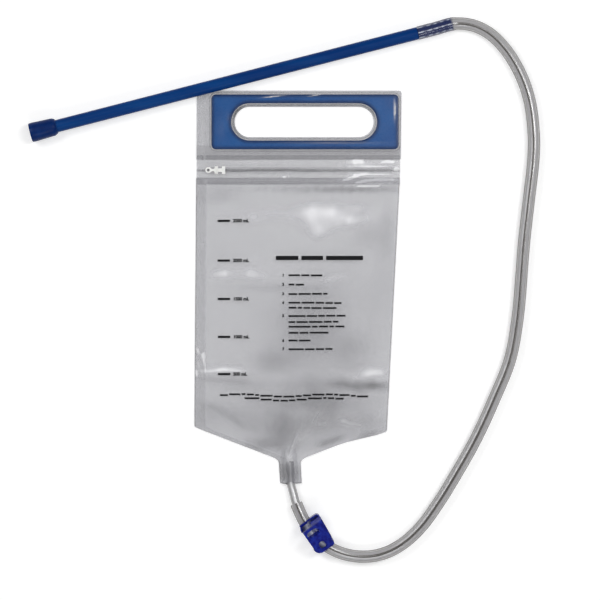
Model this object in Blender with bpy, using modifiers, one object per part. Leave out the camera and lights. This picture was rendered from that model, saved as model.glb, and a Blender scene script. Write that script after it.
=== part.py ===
"""Oral calf feeder, laid flat: a clear vinyl bag with a plated hand slot and a zip mouth, a clear delivery
hose with a pinch clamp, and a rigid probe pushed on the hose's far end.

Units are metres. The origin is the middle of the bag's flat back face, +Y runs to the handle, +X to the hose's
loop and +Z up, from the surface that everything lies on.
"""

import math

import bmesh
import bpy
from mathutils import Matrix, Vector

MM = 0.001

# Gaps: between pieces that touch, and between a turned pin and its hole.
SEAT = 0.3 * MM
PIN_PLAY = 0.25 * MM

# Bag: two vinyl films, welded all round
FILM = 0.5 * MM
BAG_TOP = 227.0 * MM
BAG_WIDTH_TOP = 236.2 * MM
BAG_WIDTH_ZIP = 235.2 * MM
BAG_WIDTH_BOTTOM = 221.8 * MM
BAG_LEAN = 2.8 * MM
BODY_LENGTH_LEFT = 388.0 * MM
BODY_LENGTH_RIGHT = 394.3 * MM
BAG_CORNER_RADIUS = 3.5 * MM
BAG_FOOT_RADIUS = 2.0 * MM
SIDE_WELD = 12.6 * MM
EDGE_WELD = 3.0 * MM
FUNNEL_DEPTH = 37.4 * MM
FUNNEL_SAG = 3.5 * MM
FUNNEL_SAG_RADIUS = 60.0 * MM
BAG_SIDE_RADIUS = 210.0 * MM
BAG_RISE = 6.0 * MM
BAG_RISE_RUN = 45.0 * MM
NECK_WIDTH = 24.9 * MM
NECK_LENGTH = 27.9 * MM
NECK_OFFSET = -11.2 * MM
NECK_LEAN = 1.7 * MM
NECK_SHOULDER_RADIUS = 7.0 * MM
NECK_CREST = 5.0 * MM
NECK_FLANK = 7.5 * MM
NECK_ARCH_RUN = 20.0 * MM
NECK_BAND = 10.0 * MM
LAP_DROP = 4.0 * MM

# Handle: a soft vinyl plate shut between the films, with a hand slot through everything
PLATE_LENGTH = 216.0 * MM
PLATE_HEIGHT = 63.5 * MM
PLATE_THICKNESS = 3.2 * MM
PLATE_CORNER_RADIUS = 5.5 * MM
PLATE_EDGE_RADIUS = 1.2 * MM
PLATE_TOP_MARGIN = 4.4 * MM
PLATE_SIDE_MARGIN = 16.7 * MM
SLOT_LENGTH = 160.4 * MM
SLOT_HEIGHT = 35.0 * MM
SLOT_SHIFT = -1.0 * MM
SLOT_RIM = 3.9 * MM
PLATE_WELD = 2.2 * MM
PLATE_SLACK = 0.7 * MM
PLATE_COVER_GAP = 0.5 * MM

# Zip: two interlocking strips across the front, lapped under the films
TRACK_BELOW_PLATE = 24.6 * MM
STRIP_REACH_UP = 17.8 * MM
STRIP_REACH_DOWN = 15.6 * MM
LAP_UP = 4.6 * MM
LAP_DOWN = 6.9 * MM
STRIP_THICKNESS = 0.5 * MM
STRIP_END_MARGIN = 0.6 * MM
RIB_WALL = 0.8 * MM
RIB_HEIGHT = 1.7 * MM
TONGUE_WIDTH = 1.2 * MM
ZIP_PLAY = 0.4 * MM
ZIP_LIP = 0.6 * MM
CRUSHED_RIDGE = 0.25 * MM
CRUSH_RIGHT = 8.0 * MM

# Slider: it saddles the strips' ridge and clips under its lips
SLIDER_LENGTH = 12.2 * MM
SLIDER_SADDLE = 3.8 * MM
SLIDER_WAIST = 4.2 * MM
SLIDER_WALL = 0.9 * MM
SLIDER_HOOK = 0.6 * MM
SLIDER_TOP = 1.2 * MM
SLIDER_START = 21.2 * MM
EAR_LENGTH = 3.2 * MM
EAR_THICKNESS = 1.4 * MM
EAR_HEIGHT = 2.5 * MM
PULL_THICKNESS = 1.2 * MM
PULL_REACH = 8.9 * MM
PULL_RING_RADIUS = 3.3 * MM
PULL_HOLE_RADIUS = 1.7 * MM
PULL_HEEL = 4.0 * MM
PULL_NECK = 2.6 * MM
PULL_PIN_RADIUS = 0.6 * MM
PULL_PIN_LIFT = 1.2 * MM
PULL_HEEL_RUN = 1.6 * MM
PULL_NECK_START = 3.0 * MM
PULL_NECK_END = 4.6 * MM

# Hose and outlet tube: both clear vinyl tube
HOSE_RADIUS = 7.15 * MM
OUTLET_RADIUS = 4.75 * MM
OUTLET_BORE_RADIUS = 3.2 * MM
OUTLET_IN_HOSE = 19.0 * MM
OUTLET_DEPTH = 2.3 * MM
OUTLET_LIFT = 0.15 * MM
HOSE_LINE_STEP = 2.0 * MM
BEND_STATION = 4.0 * MM
CUT_LEAD = 1.0 * MM
HOSE_STATION = 12.0 * MM
HOSE_LIFT = 0.15 * MM
HOSE_CUFF_RADIUS = 7.8 * MM
HOSE_BEVEL_RESOLUTION = 4

# Pinch clamp, moulded in one bent strip: a base with end walls, and an arm that swings down on the hose
CLAMP_RIGHT_OF_NECK = 29.9 * MM
CLAMP_BELOW_NECK = 55.5 * MM
CLAMP_TURN = math.radians(-55.0)
CLAMP_FREE_REACH = 18.7 * MM
CLAMP_HINGE_REACH = 22.1 * MM
CLAMP_LEFT = 14.4 * MM
CLAMP_RIGHT_FREE = 13.8 * MM
CLAMP_RIGHT_HINGE = 10.0 * MM
CLAMP_LEFT_RADIUS = 8.0 * MM
CLAMP_RIGHT_RADIUS = 3.5 * MM
CLAMP_FLOOR = 1.6 * MM
CLAMP_SILL = 0.4 * MM
CLAMP_WALL = 1.8 * MM
CLAMP_LINTEL = 1.0 * MM
CLAMP_WALL_RUN_FREE = 9.0 * MM
CLAMP_WALL_RUN_HINGE = 8.5 * MM
ARM_THICKNESS = 2.0 * MM
ARM_OPEN = math.radians(28.0)
ARM_AXIS_INSET = 1.2 * MM
ARM_TONGUE_REACH = 36.1 * MM
ARM_LIP_REACH = 42.0 * MM
ARM_LIP_FLARE = 2.4 * MM
ARM_OUTER_WINDOW = (23.0 * MM, 32.5 * MM, 10.4 * MM, 4.5 * MM)
ARM_INNER_WINDOW = (3.0 * MM, 13.0 * MM, 6.0 * MM, 1.5 * MM)
ARM_LIP_SIDE = 2.0 * MM
RIDGE_REACH = 19.0 * MM
RIDGE_ROOT = 3.2 * MM
RIDGE_TIP = 1.2 * MM
RIDGE_LEFT = 12.8 * MM
RIDGE_RIGHT = 5.0 * MM
PINCHED_HOSE = 4.6 * MM
CATCH_LEFT = 12.0 * MM
CATCH_RIGHT = 1.5 * MM
CATCH_HOOK = 1.3 * MM
CATCH_HEIGHT = 2.6 * MM
CATCH_INSET = 0.2 * MM

# Probe: a stiff tube with a flared tip sleeve and a barbed spigot for the hose
PROBE_TURN = math.radians(14.48)
PROBE_RIGHT_OF_BAG = 18.2 * MM
PROBE_ABOVE_BAG = 65.6 * MM
PROBE_TUBE_LENGTH = 454.0 * MM
PROBE_RADIUS = 7.2 * MM
PROBE_BORE_RADIUS = 5.0 * MM
TUBE_EDGE = 0.4 * MM
TIP_RADIUS = 11.15 * MM
TIP_HEEL_RADIUS = 10.2 * MM
TIP_LENGTH = 31.0 * MM
TIP_LIP = 6.0 * MM
TIP_CHAMFER = 3.4 * MM
TIP_RIM_RADIUS = 1.6 * MM
BARB_LENGTH = 41.0 * MM
BARB_RIDGES_MM = (11.0, 21.7, 37.4)
BARB_ROOT_RADIUS = 4.7 * MM
BARB_RADIUS = 5.8 * MM
BARB_BORE_RADIUS = 3.4 * MM
BARB_PLUG = 16.0 * MM
BARB_BITE = 0.8 * MM
BARB_LEAD = 3.0 * MM

# Levels above the surface
BACK_TOP = FILM
RIM_LOW = BACK_TOP + SEAT
STRIP_TOP = RIM_LOW + STRIP_THICKNESS
LAP_LOW = STRIP_TOP + SEAT
PLATE_TOP = RIM_LOW + PLATE_THICKNESS
PLATE_COVER_LOW = PLATE_TOP + PLATE_COVER_GAP
OUTLET_LEVEL = BACK_TOP + SEAT + OUTLET_RADIUS
LYING_HOSE = HOSE_RADIUS + HOSE_LIFT
RIB_TOP = STRIP_TOP + RIB_HEIGHT
RIDGE_TOP = RIB_TOP + ZIP_PLAY + ZIP_LIP
HOSE_BOTTOM = CLAMP_FLOOR + CLAMP_SILL + SEAT
CLAMPED_HOSE = HOSE_BOTTOM + HOSE_RADIUS
CLAMP_WALL_TOP = CLAMPED_HOSE + HOSE_RADIUS + SEAT + CLAMP_LINTEL
ARM_AXIS_LEVEL = CLAMP_WALL_TOP + SEAT + ARM_THICKNESS / 2

# The hose's route: its middle line in millimetres, chosen by hand. The first points run from the neck's mouth
# through the clamp and up beside the bag, and the rest lie about the probe's hose end
HOSE_FROM_NECK_MM = [
    (2.5, -10.0, 6.4),
    (6.0, -22.4, 7.9),
    (14.8, -41.9, 9.45),
    (22.3, -54.2, 9.45),
    (31.9, -64.6, 9.45),
    (43.6, -72.8, 9.45),
    (59.4, -79.9, 8.6),
    (77.6, -83.4, 7.6),
    (96.1, -82.6, 7.3),
    (114.3, -76.9, 7.3),
    (132.4, -65.8, 7.3),
    (151.0, -47.7, 7.3),
    (170.3, -20.8, 7.3),
    (186.1, 4.7, 7.3),
    (212.2, 50.9, 7.3),
    (233.5, 96.9, 7.3),
    (251.9, 142.9, 7.3),
    (260.5, 188.9, 7.3),
]
HOSE_TO_PROBE_MM = [
    (122.7, -238.0, 7.3),
    (127.9, -192.0, 7.3),
    (133.1, -146.0, 7.3),
    (133.6, -116.6, 7.3),
    (128.7, -77.5, 7.3),
    (117.9, -46.4, 7.3),
    (100.9, -18.5, 7.3),
    (82.4, -0.2, 7.3),
    (63.3, 9.0, 7.4),
]

COLOURS = {
    "clear_vinyl": ((0.62, 0.63, 0.65), 0.18, 0.45),
    "clear_hose": ((0.60, 0.60, 0.58), 0.12, 0.50),
    "blue_vinyl": ((0.018, 0.090, 0.290), 0.28, 1.0),
    "white_moulding": ((0.82, 0.82, 0.80), 0.35, 1.0),
    "blue_clamp": ((0.010, 0.022, 0.330), 0.22, 0.85),
    "navy_tube": ((0.004, 0.030, 0.165), 0.30, 1.0),
}


def clear_scene():
    for old in list(bpy.data.objects):
        bpy.data.objects.remove(old, do_unlink=True)


def new_collection(name):
    made = bpy.data.collections.new(name)
    bpy.context.scene.collection.children.link(made)
    return made


clear_scene()
parts = new_collection("oral_calf_feeder")
cutters = new_collection("cutters")


def new_material(name, finish):
    colour, roughness, alpha = COLOURS[finish]
    made = bpy.data.materials.new(f"{name}_{finish}")
    made.use_nodes = True
    shader = made.node_tree.nodes["Principled BSDF"]
    shader.inputs["Base Color"].default_value = (*colour, 1.0)
    shader.inputs["Roughness"].default_value = roughness
    shader.inputs["Metallic"].default_value = 0.0
    shader.inputs["Alpha"].default_value = alpha
    return made


def put(name, data, finish):
    """A node of the feeder, with its material."""
    made = bpy.data.objects.new(name, data)
    parts.objects.link(made)
    data.materials.clear()
    data.materials.append(new_material(name, finish))
    return made


def put_cutter(name, data):
    made = bpy.data.objects.new(name, data)
    cutters.objects.link(made)
    made.hide_render = True
    made.display_type = "WIRE"
    return made


def boolean(target, tool, operation):
    step = target.modifiers.new(tool.name, "BOOLEAN")
    step.object = tool
    step.operation = operation
    step.solver = "EXACT"


def smooth_round_sides(mesh):
    mesh.shade_smooth()
    mesh.set_sharp_from_angle(angle=math.radians(35))


def filleted(corners, segments=5):
    """The closed outline through corners, given as (x, y, radius), with an arc at each corner that has a radius."""
    outline = []
    for before, corner, after in zip(corners[-1:] + corners[:-1], corners, corners[1:] + corners[:1]):
        at = Vector(corner[:2])
        radius = corner[2]
        if radius <= 0:
            outline.append(at)
            continue
        back = (Vector(before[:2]) - at).normalized()
        ahead = (Vector(after[:2]) - at).normalized()
        half = back.angle(ahead) / 2
        middle = at + (back + ahead).normalized() * (radius / math.sin(half))
        start = at + back * (radius / math.tan(half)) - middle
        sweep = start.angle_signed(at + ahead * (radius / math.tan(half)) - middle)
        for step in range(segments + 1):
            outline.append(middle + Matrix.Rotation(-sweep * step / segments, 2) @ start)
    return outline


def rounded_box(length, height, radius, middle=(0.0, 0.0)):
    x, y = middle
    half_x, half_y = length / 2, height / 2
    radius = min(radius, half_x * 0.999, half_y * 0.999)
    return [
        (x - half_x, y - half_y, radius),
        (x + half_x, y - half_y, radius),
        (x + half_x, y + half_y, radius),
        (x - half_x, y + half_y, radius),
    ]


def flat_curve(name, outlines, low, high):
    """A flat outline, with holes if there are more outlines than one, between two levels."""
    curve = bpy.data.curves.new(name, "CURVE")
    curve.dimensions = "2D"
    curve.fill_mode = "BOTH"
    curve.extrude = (high - low) / 2
    for outline in outlines:
        spline = curve.splines.new("POLY")
        spline.points.add(len(outline) - 1)
        for point, (x, y) in zip(spline.points, outline):
            point.co = (x, y, 0.0, 1.0)
        spline.use_cyclic_u = True
    return curve


def baked(maker, place):
    """The solid that maker shows, as a mesh with its seams welded, moved to its place. maker is removed."""
    bpy.context.scene.collection.objects.link(maker)
    bpy.context.view_layer.update()
    ready = maker.evaluated_get(bpy.context.evaluated_depsgraph_get())
    mesh = bpy.data.meshes.new_from_object(ready)
    name = maker.name
    bpy.data.objects.remove(maker, do_unlink=True)
    bm = bmesh.new()
    bm.from_mesh(mesh)
    bmesh.ops.remove_doubles(bm, verts=bm.verts, dist=0.002 * MM)
    bmesh.ops.transform(bm, matrix=place, verts=bm.verts)
    bmesh.ops.recalc_face_normals(bm, faces=bm.faces)
    bm.to_mesh(mesh)
    bm.free()
    mesh.name = name
    return mesh


def as_mesh(curve, place=Matrix.Identity(4)):
    return baked(bpy.data.objects.new(curve.name, curve), place)


def prism(name, outlines, low, high, place=Matrix.Identity(4)):
    """A flat outline as a mesh between two levels of its own Z, moved to its place."""
    lift = Matrix.Translation((0.0, 0.0, (low + high) / 2))
    return as_mesh(flat_curve(name, outlines, low, high), place @ lift)


def tube_curve(name, points, radius, radii=None):
    """A round tube along points. radii gives each point's own radius, where it isn't radius throughout."""
    curve = bpy.data.curves.new(name, "CURVE")
    curve.dimensions = "3D"
    curve.bevel_depth = radius
    curve.bevel_resolution = HOSE_BEVEL_RESOLUTION
    curve.use_fill_caps = True
    spline = curve.splines.new("POLY")
    spline.points.add(len(points) - 1)
    for index, (point, at) in enumerate(zip(spline.points, points)):
        point.co = (*at, 1.0)
        point.radius = 1.0 if radii is None else radii[index] / radius
    return curve


def turned(name, profile, place, steps=24):
    """A closed profile of (radius, height) turned about Z. Its outer side runs from top to bottom."""
    mesh = bpy.data.meshes.new(name)
    bm = bmesh.new()
    ring = [bm.verts.new((radius, 0.0, height)) for radius, height in profile]
    for start, end in zip(ring, ring[1:] + ring[:1]):
        bm.edges.new((start, end))
    bm.to_mesh(mesh)
    bm.free()
    maker = bpy.data.objects.new(name, mesh)
    screw = maker.modifiers.new("turn", "SCREW")
    screw.steps = steps
    screw.render_steps = steps
    screw.use_merge_vertices = True
    screw.merge_threshold = 0.00001
    made = baked(maker, place)
    smooth_round_sides(made)
    return made


def rod(radius, half_length):
    """The profile of a round rod about the middle of its axis."""
    return [(0.0, half_length), (radius, half_length), (radius, -half_length), (0.0, -half_length)]


def box(name, low, high, place=Matrix.Identity(4)):
    """A box between two corners, moved to its place."""
    low, high = Vector(low), Vector(high)
    sizes = Matrix.Diagonal((*(high - low), 1.0))
    mesh = bpy.data.meshes.new(name)
    bm = bmesh.new()
    bmesh.ops.create_cube(bm, size=1.0, matrix=place @ Matrix.Translation((low + high) / 2) @ sizes)
    bm.to_mesh(mesh)
    bm.free()
    return mesh


def on_probe(along):
    """The point of the probe's axis that lies along metres behind the hose's end, towards the tip."""
    return PROBE_HEEL - probe_direction() * along


def probe_direction():
    """From the tip to the hose. The tip's sleeve lies on the surface, and so does the hose."""
    length = PROBE_TUBE_LENGTH + TIP_LIP
    drop = (TIP_RADIUS + HOSE_LIFT - LYING_HOSE) / length
    level = math.sqrt(1.0 - drop * drop)
    return Vector((math.cos(PROBE_TURN) * level, math.sin(PROBE_TURN) * level, -drop))


def probe_place(along):
    """Z along the probe, from the hose to the tip, starting along metres behind the hose's end."""
    down = -probe_direction()
    side = Vector((0.0, 0.0, 1.0)).cross(down).normalized()
    up = down.cross(side)
    turn = Matrix((side, up, down)).transposed().to_4x4()
    return Matrix.Translation(on_probe(along)) @ turn


def between(low, high, start, end, at):
    """The mix of low and high for a knot between start and end."""
    return low.lerp(high, (at - start) / (end - start))


def smooth_line(points, step):
    """Points about a step apart on a centripetal Catmull-Rom curve through the given points."""
    line = []
    padded = [2 * points[0] - points[1], *points, 2 * points[-1] - points[-2]]
    for p in zip(padded, padded[1:], padded[2:], padded[3:]):
        knots = [0.0]
        for start, end in zip(p, p[1:]):
            knots.append(knots[-1] + math.sqrt((end - start).length))
        count = max(2, math.ceil((p[2] - p[1]).length / step))
        for index in range(count):
            at = knots[1] + (knots[2] - knots[1]) * index / count
            a = [between(p[i], p[i + 1], knots[i], knots[i + 1], at) for i in range(3)]
            b = [between(a[i], a[i + 1], knots[i], knots[i + 2], at) for i in range(2)]
            line.append(between(b[0], b[1], knots[1], knots[2], at))
    line.append(points[-1])
    return line


def line_lengths(line):
    lengths = [0.0]
    for start, end in zip(line, line[1:]):
        lengths.append(lengths[-1] + (end - start).length)
    return lengths


def stretch_of(line, start, end, spacing):
    """Points of the line from one length along it to another, about spacing apart."""
    lengths = line_lengths(line)
    count = max(2, round((end - start) / spacing))
    found = []
    index = 0
    for step in range(count + 1):
        at = start + (end - start) * step / count
        while index < len(lengths) - 2 and lengths[index + 1] < at:
            index += 1
        found.append(between(line[index], line[index + 1], lengths[index], lengths[index + 1], at))
    return found


def cut_stretch(line, start, end, spacing):
    """A stretch of the line with a point just inside each end, so that its cut faces stand square to it."""
    points = stretch_of(line, start, end, spacing)
    first = stretch_of(line, start, start + 2 * CUT_LEAD, CUT_LEAD)[1]
    last = stretch_of(line, end - 2 * CUT_LEAD, end, CUT_LEAD)[1]
    return [points[0], first, *points[1:-1], last, points[-1]]


def nearest_length(line, spot):
    """How far along the line its point nearest to spot lies."""
    lengths = line_lengths(line)
    return min(zip(line, lengths), key=lambda pair: (pair[0] - spot).length)[1]


def smooth_step(value):
    value = min(1.0, max(0.0, value))
    return value * value * (3.0 - 2.0 * value)


def across(chain, y):
    """The x of a chain of points, which runs down the page, at y."""
    for start, end in zip(chain, chain[1:]):
        if end.y <= y <= start.y and start.y > end.y:
            return start.x + (end.x - start.x) * (start.y - y) / (start.y - end.y)
    return chain[0].x if y > chain[0].y else chain[-1].x


def distance_to(chain, spot):
    """How far a spot lies from a chain of points."""
    best = math.inf
    for start, end in zip(chain, chain[1:]):
        run = end - start
        share = min(1.0, max(0.0, (spot - start).dot(run) / run.length_squared))
        best = min(best, (start + run * share - spot).length)
    return best


# Places across the bag, all from the driving sizes
BAG_LEFT = -BAG_WIDTH_TOP / 2
PLATE_MIDDLE_Y = BAG_TOP - PLATE_TOP_MARGIN - PLATE_HEIGHT / 2
PLATE_MIDDLE_X = BAG_LEFT + PLATE_SIDE_MARGIN + PLATE_LENGTH / 2
PLATE_BOTTOM = PLATE_MIDDLE_Y - PLATE_HEIGHT / 2
SLOT_MIDDLE_X = PLATE_MIDDLE_X + SLOT_SHIFT
TRACK_Y = PLATE_BOTTOM - TRACK_BELOW_PLATE
STRIP_HIGH = TRACK_Y + STRIP_REACH_UP
STRIP_LOW = TRACK_Y - STRIP_REACH_DOWN
HANDLE_FILM_BOTTOM = STRIP_HIGH - LAP_UP
FRONT_FILM_TOP = STRIP_LOW + LAP_DOWN
LEFT_FOOT = Vector((BAG_LEFT - BAG_LEAN, BAG_TOP - BODY_LENGTH_LEFT))
RIGHT_FOOT = Vector((LEFT_FOOT.x + BAG_WIDTH_BOTTOM, BAG_TOP - BODY_LENGTH_RIGHT))
SHOULDER_Y = LEFT_FOOT.y - FUNNEL_DEPTH
NECK_END_Y = SHOULDER_Y - NECK_LENGTH
NECK_MOUTH = Vector((NECK_OFFSET + NECK_LEAN, NECK_END_Y, 0.0))
CLAMP_AT = NECK_MOUTH + Vector((CLAMP_RIGHT_OF_NECK, -CLAMP_BELOW_NECK, 0.0))
PROBE_HEEL = Vector((PROBE_RIGHT_OF_BAG - BAG_LEFT, BAG_TOP + PROBE_ABOVE_BAG, LYING_HOSE))
ZIP_LEFT = BAG_LEFT - BAG_LEAN * (BAG_TOP - TRACK_Y) / BODY_LENGTH_LEFT
ZIP_RIGHT = ZIP_LEFT + BAG_WIDTH_ZIP


def right_side():
    """The bag's right edge from its top corner to the neck's end, as corners with radii."""
    neck_end = NECK_OFFSET + NECK_LEAN + NECK_WIDTH / 2
    neck_start = NECK_OFFSET + NECK_WIDTH / 2
    sag_x = (RIGHT_FOOT.x + neck_start) / 2
    sag_y = (RIGHT_FOOT.y + SHOULDER_Y) / 2 + FUNNEL_SAG
    return [
        (-BAG_LEFT, BAG_TOP, BAG_CORNER_RADIUS),
        (ZIP_RIGHT, TRACK_Y, BAG_SIDE_RADIUS),
        (RIGHT_FOOT.x, RIGHT_FOOT.y, BAG_FOOT_RADIUS),
        (sag_x, sag_y, FUNNEL_SAG_RADIUS),
        (neck_start, SHOULDER_Y, NECK_SHOULDER_RADIUS),
        (neck_end, NECK_END_Y, 0.0),
    ]


def left_side():
    """The bag's left edge from the neck's end to its top corner, as corners with radii."""
    return [
        (NECK_OFFSET + NECK_LEAN - NECK_WIDTH / 2, NECK_END_Y, 0.0),
        (NECK_OFFSET - NECK_WIDTH / 2, SHOULDER_Y, NECK_SHOULDER_RADIUS),
        (LEFT_FOOT.x, LEFT_FOOT.y, BAG_FOOT_RADIUS),
        (BAG_LEFT, BAG_TOP, BAG_FOOT_RADIUS),
    ]


def bag_chains():
    """The bag's outline as two chains of points that run down its left and right edges."""
    outline = filleted(right_side() + left_side())
    foot = min(range(len(outline)), key=lambda index: (outline[index].y, -outline[index].x))
    right = outline[: foot + 1]
    left = list(reversed(outline[foot + 1 :]))
    return left, right


def slot_outline(grown=0.0):
    """The hand slot's outline, grown outwards by a margin."""
    box = rounded_box(
        SLOT_LENGTH + 2 * grown,
        SLOT_HEIGHT + 2 * grown,
        SLOT_HEIGHT / 2 + grown,
        (SLOT_MIDDLE_X, PLATE_MIDDLE_Y),
    )
    return filleted(box, 10)


def plate_outline(grown=0.0):
    box = rounded_box(
        PLATE_LENGTH + 2 * grown,
        PLATE_HEIGHT + 2 * grown,
        PLATE_CORNER_RADIUS + grown,
        (PLATE_MIDDLE_X, PLATE_MIDDLE_Y),
    )
    return filleted(box, 10)


def film_from_grid(name, columns, rows, place):
    """A film over a grid of columns and rows. place turns a grid point's shares of both, from 0 to 1, into
    the point of the film's underside."""
    bm = bmesh.new()
    bmesh.ops.create_grid(bm, x_segments=columns, y_segments=rows, size=1.0)
    for vertex in bm.verts:
        vertex.co = place((vertex.co.x + 1.0) / 2, (vertex.co.y + 1.0) / 2)
    bmesh.ops.remove_doubles(bm, verts=bm.verts, dist=0.002 * MM)
    mesh = bpy.data.meshes.new(name)
    bm.to_mesh(mesh)
    bm.free()
    made = put(name, mesh, "clear_vinyl")
    wall = made.modifiers.new("film", "SOLIDIFY")
    wall.thickness = FILM
    wall.offset = 1.0
    return made


def make_back_film():
    """The bag's flat back, from the top edge to the neck's end, with the hand slot cut out."""
    left, right = bag_chains()
    outline = right + list(reversed(left))
    data = flat_curve("back_film", [outline, slot_outline()], 0.0, BACK_TOP)
    made = put("back_film", data, "clear_vinyl")
    made.location.z = BACK_TOP / 2


def film_rows():
    """How far down the front film its rows of points lie, closer where it bends."""
    rows = []
    stretches = [
        (FRONT_FILM_TOP, STRIP_LOW, 2),
        (STRIP_LOW, STRIP_LOW - LAP_DROP, 3),
        (STRIP_LOW - LAP_DROP, STRIP_LOW - BAG_RISE_RUN, 5),
        (STRIP_LOW - BAG_RISE_RUN, LEFT_FOOT.y + BAG_RISE_RUN / 2, 12),
        (LEFT_FOOT.y + BAG_RISE_RUN / 2, SHOULDER_Y + NECK_ARCH_RUN, 9),
        (SHOULDER_Y + NECK_ARCH_RUN, NECK_END_Y, 16),
    ]
    for start, end, count in stretches:
        rows += [start + (end - start) * index / count for index in range(count)]
    return rows + [NECK_END_Y]


def neck_middle(y):
    """The x of the neck's middle line, which leans a little."""
    return NECK_OFFSET + NECK_LEAN * (SHOULDER_Y - y) / NECK_LENGTH


def film_column(low, high, share, y):
    """The x of a column of the front film's points between the bag's sides. The columns are closest at the
    sides, and down in the funnel most of them gather over the outlet tube."""
    spread = low + (high - low) * (1.0 - math.cos(math.pi * share)) / 2
    band_low, band_high = neck_middle(y) - NECK_BAND, neck_middle(y) + NECK_BAND
    if share < 0.2:
        gathered = low + (band_low - low) * share / 0.2
    elif share > 0.8:
        gathered = high + (band_high - high) * (1.0 - share) / 0.2
    else:
        gathered = band_low + (band_high - band_low) * (share - 0.2) / 0.6
    pull = smooth_step((LEFT_FOOT.y + BAG_RISE_RUN - y) / (LEFT_FOOT.y + BAG_RISE_RUN - SHOULDER_Y))
    return spread + (gathered - spread) * pull


def front_film_level(left, right, x, y):
    """The underside of the front film over one spot: flat at its welds, risen between them, and arched over
    the outlet tube in the neck."""
    spot = Vector((x, y))
    inside = min(
        x - across(left, y) - SIDE_WELD if y > LEFT_FOOT.y else math.inf,
        distance_to(left, spot) - (SIDE_WELD if y > LEFT_FOOT.y + SIDE_WELD else EDGE_WELD),
        distance_to(right, spot) - EDGE_WELD,
        STRIP_LOW - LAP_DROP - y,
    )
    rise = BAG_RISE * smooth_step(inside / BAG_RISE_RUN)
    neck = smooth_step((SHOULDER_Y + NECK_ARCH_RUN - y) / (NECK_ARCH_RUN - OUTLET_DEPTH))
    flank = smooth_step((abs(x - neck_middle(y)) - NECK_CREST / 2) / NECK_FLANK)
    arch = (OUTLET_LEVEL + OUTLET_LIFT + OUTLET_RADIUS + SEAT - RIM_LOW) * (1.0 - flank) * neck
    lap = (LAP_LOW - RIM_LOW) * smooth_step((y - STRIP_LOW + LAP_DROP) / LAP_DROP)
    return RIM_LOW + lap + max(rise, arch)


def make_front_film():
    """The bag's printed front, from its lap over the zip to the neck's end."""
    left, right = bag_chains()
    rows = film_rows()
    columns = 30

    def place(share_x, share_y):
        y = rows[round((1.0 - share_y) * (len(rows) - 1))]
        low, high = across(left, y), across(right, y)
        x = film_column(low, high, share_x, y)
        return Vector((x, y, front_film_level(left, right, x, y)))

    film_from_grid("front_film", columns, len(rows) - 1, place)


def handle_film_loops():
    """The film over the handle as loops of points, from its outer edge to the hand slot."""
    left, right = bag_chains()
    top_film = filleted(
        [
            (across(left, HANDLE_FILM_BOTTOM), HANDLE_FILM_BOTTOM, FILM),
            (across(right, HANDLE_FILM_BOTTOM), HANDLE_FILM_BOTTOM, FILM),
            (-BAG_LEFT, BAG_TOP, BAG_CORNER_RADIUS),
            (BAG_LEFT, BAG_TOP, BAG_FOOT_RADIUS),
        ],
        10,
    )
    weld = plate_outline(PLATE_WELD)
    return [
        (top_film, RIM_LOW),
        ([outer.lerp(inner, 0.35) for outer, inner in zip(top_film, weld)], RIM_LOW),
        ([outer.lerp(inner, 0.62) for outer, inner in zip(top_film, weld)], RIM_LOW),
        (weld, RIM_LOW),
        (plate_outline(PLATE_SLACK), PLATE_COVER_LOW - PLATE_EDGE_RADIUS),
        (plate_outline(-PLATE_EDGE_RADIUS), PLATE_COVER_LOW),
        (slot_outline(SLOT_RIM + PLATE_EDGE_RADIUS), PLATE_COVER_LOW),
        (slot_outline(SLOT_RIM - PLATE_SLACK), PLATE_COVER_LOW - PLATE_EDGE_RADIUS),
        (slot_outline(SLOT_RIM - PLATE_WELD), RIM_LOW),
        (slot_outline(), RIM_LOW),
    ]


def make_handle_film():
    """The film that shuts the handle plate in, lapped over the zip's upper strip."""
    loops = handle_film_loops()
    around = len(loops[0][0])

    def place(share_x, share_y):
        outline, level = loops[round(share_y * (len(loops) - 1))]
        x, y = outline[round(share_x * around) % around]
        lap = smooth_step((STRIP_HIGH + LAP_DROP - y) / (0.7 * LAP_DROP))
        return Vector((x, y, max(level, RIM_LOW + (LAP_LOW - RIM_LOW) * lap)))

    film_from_grid("handle_film", around, len(loops) - 1, place)


def make_handle_plate():
    """The soft blue plate with rounded edges, welded in between the films."""
    inset = PLATE_EDGE_RADIUS
    outlines = [plate_outline(-inset), slot_outline(SLOT_RIM + inset)]
    curve = flat_curve("handle_insert", outlines, RIM_LOW + inset, PLATE_TOP - inset)
    curve.bevel_depth = inset
    curve.bevel_resolution = 2
    made = put("handle_insert", as_mesh(curve), "blue_vinyl")
    made.location.z = (RIM_LOW + PLATE_TOP) / 2
    smooth_round_sides(made.data)



# Looking along the zip: a profile's own X is the way up the bag from the track, its Y the level
ZIP_PLACE = Matrix(((0, 0, 1, 0), (1, 0, 0, TRACK_Y), (0, 1, 0, 0), (0, 0, 0, 1)))
SOCKET_HALF = TONGUE_WIDTH / 2 + 1.5 * ZIP_PLAY
LOW_RIB = -SOCKET_HALF - RIB_WALL
MIDDLE_RIB = SOCKET_HALF + RIB_WALL
HIGH_RIB = MIDDLE_RIB + ZIP_PLAY + RIB_WALL


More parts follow.
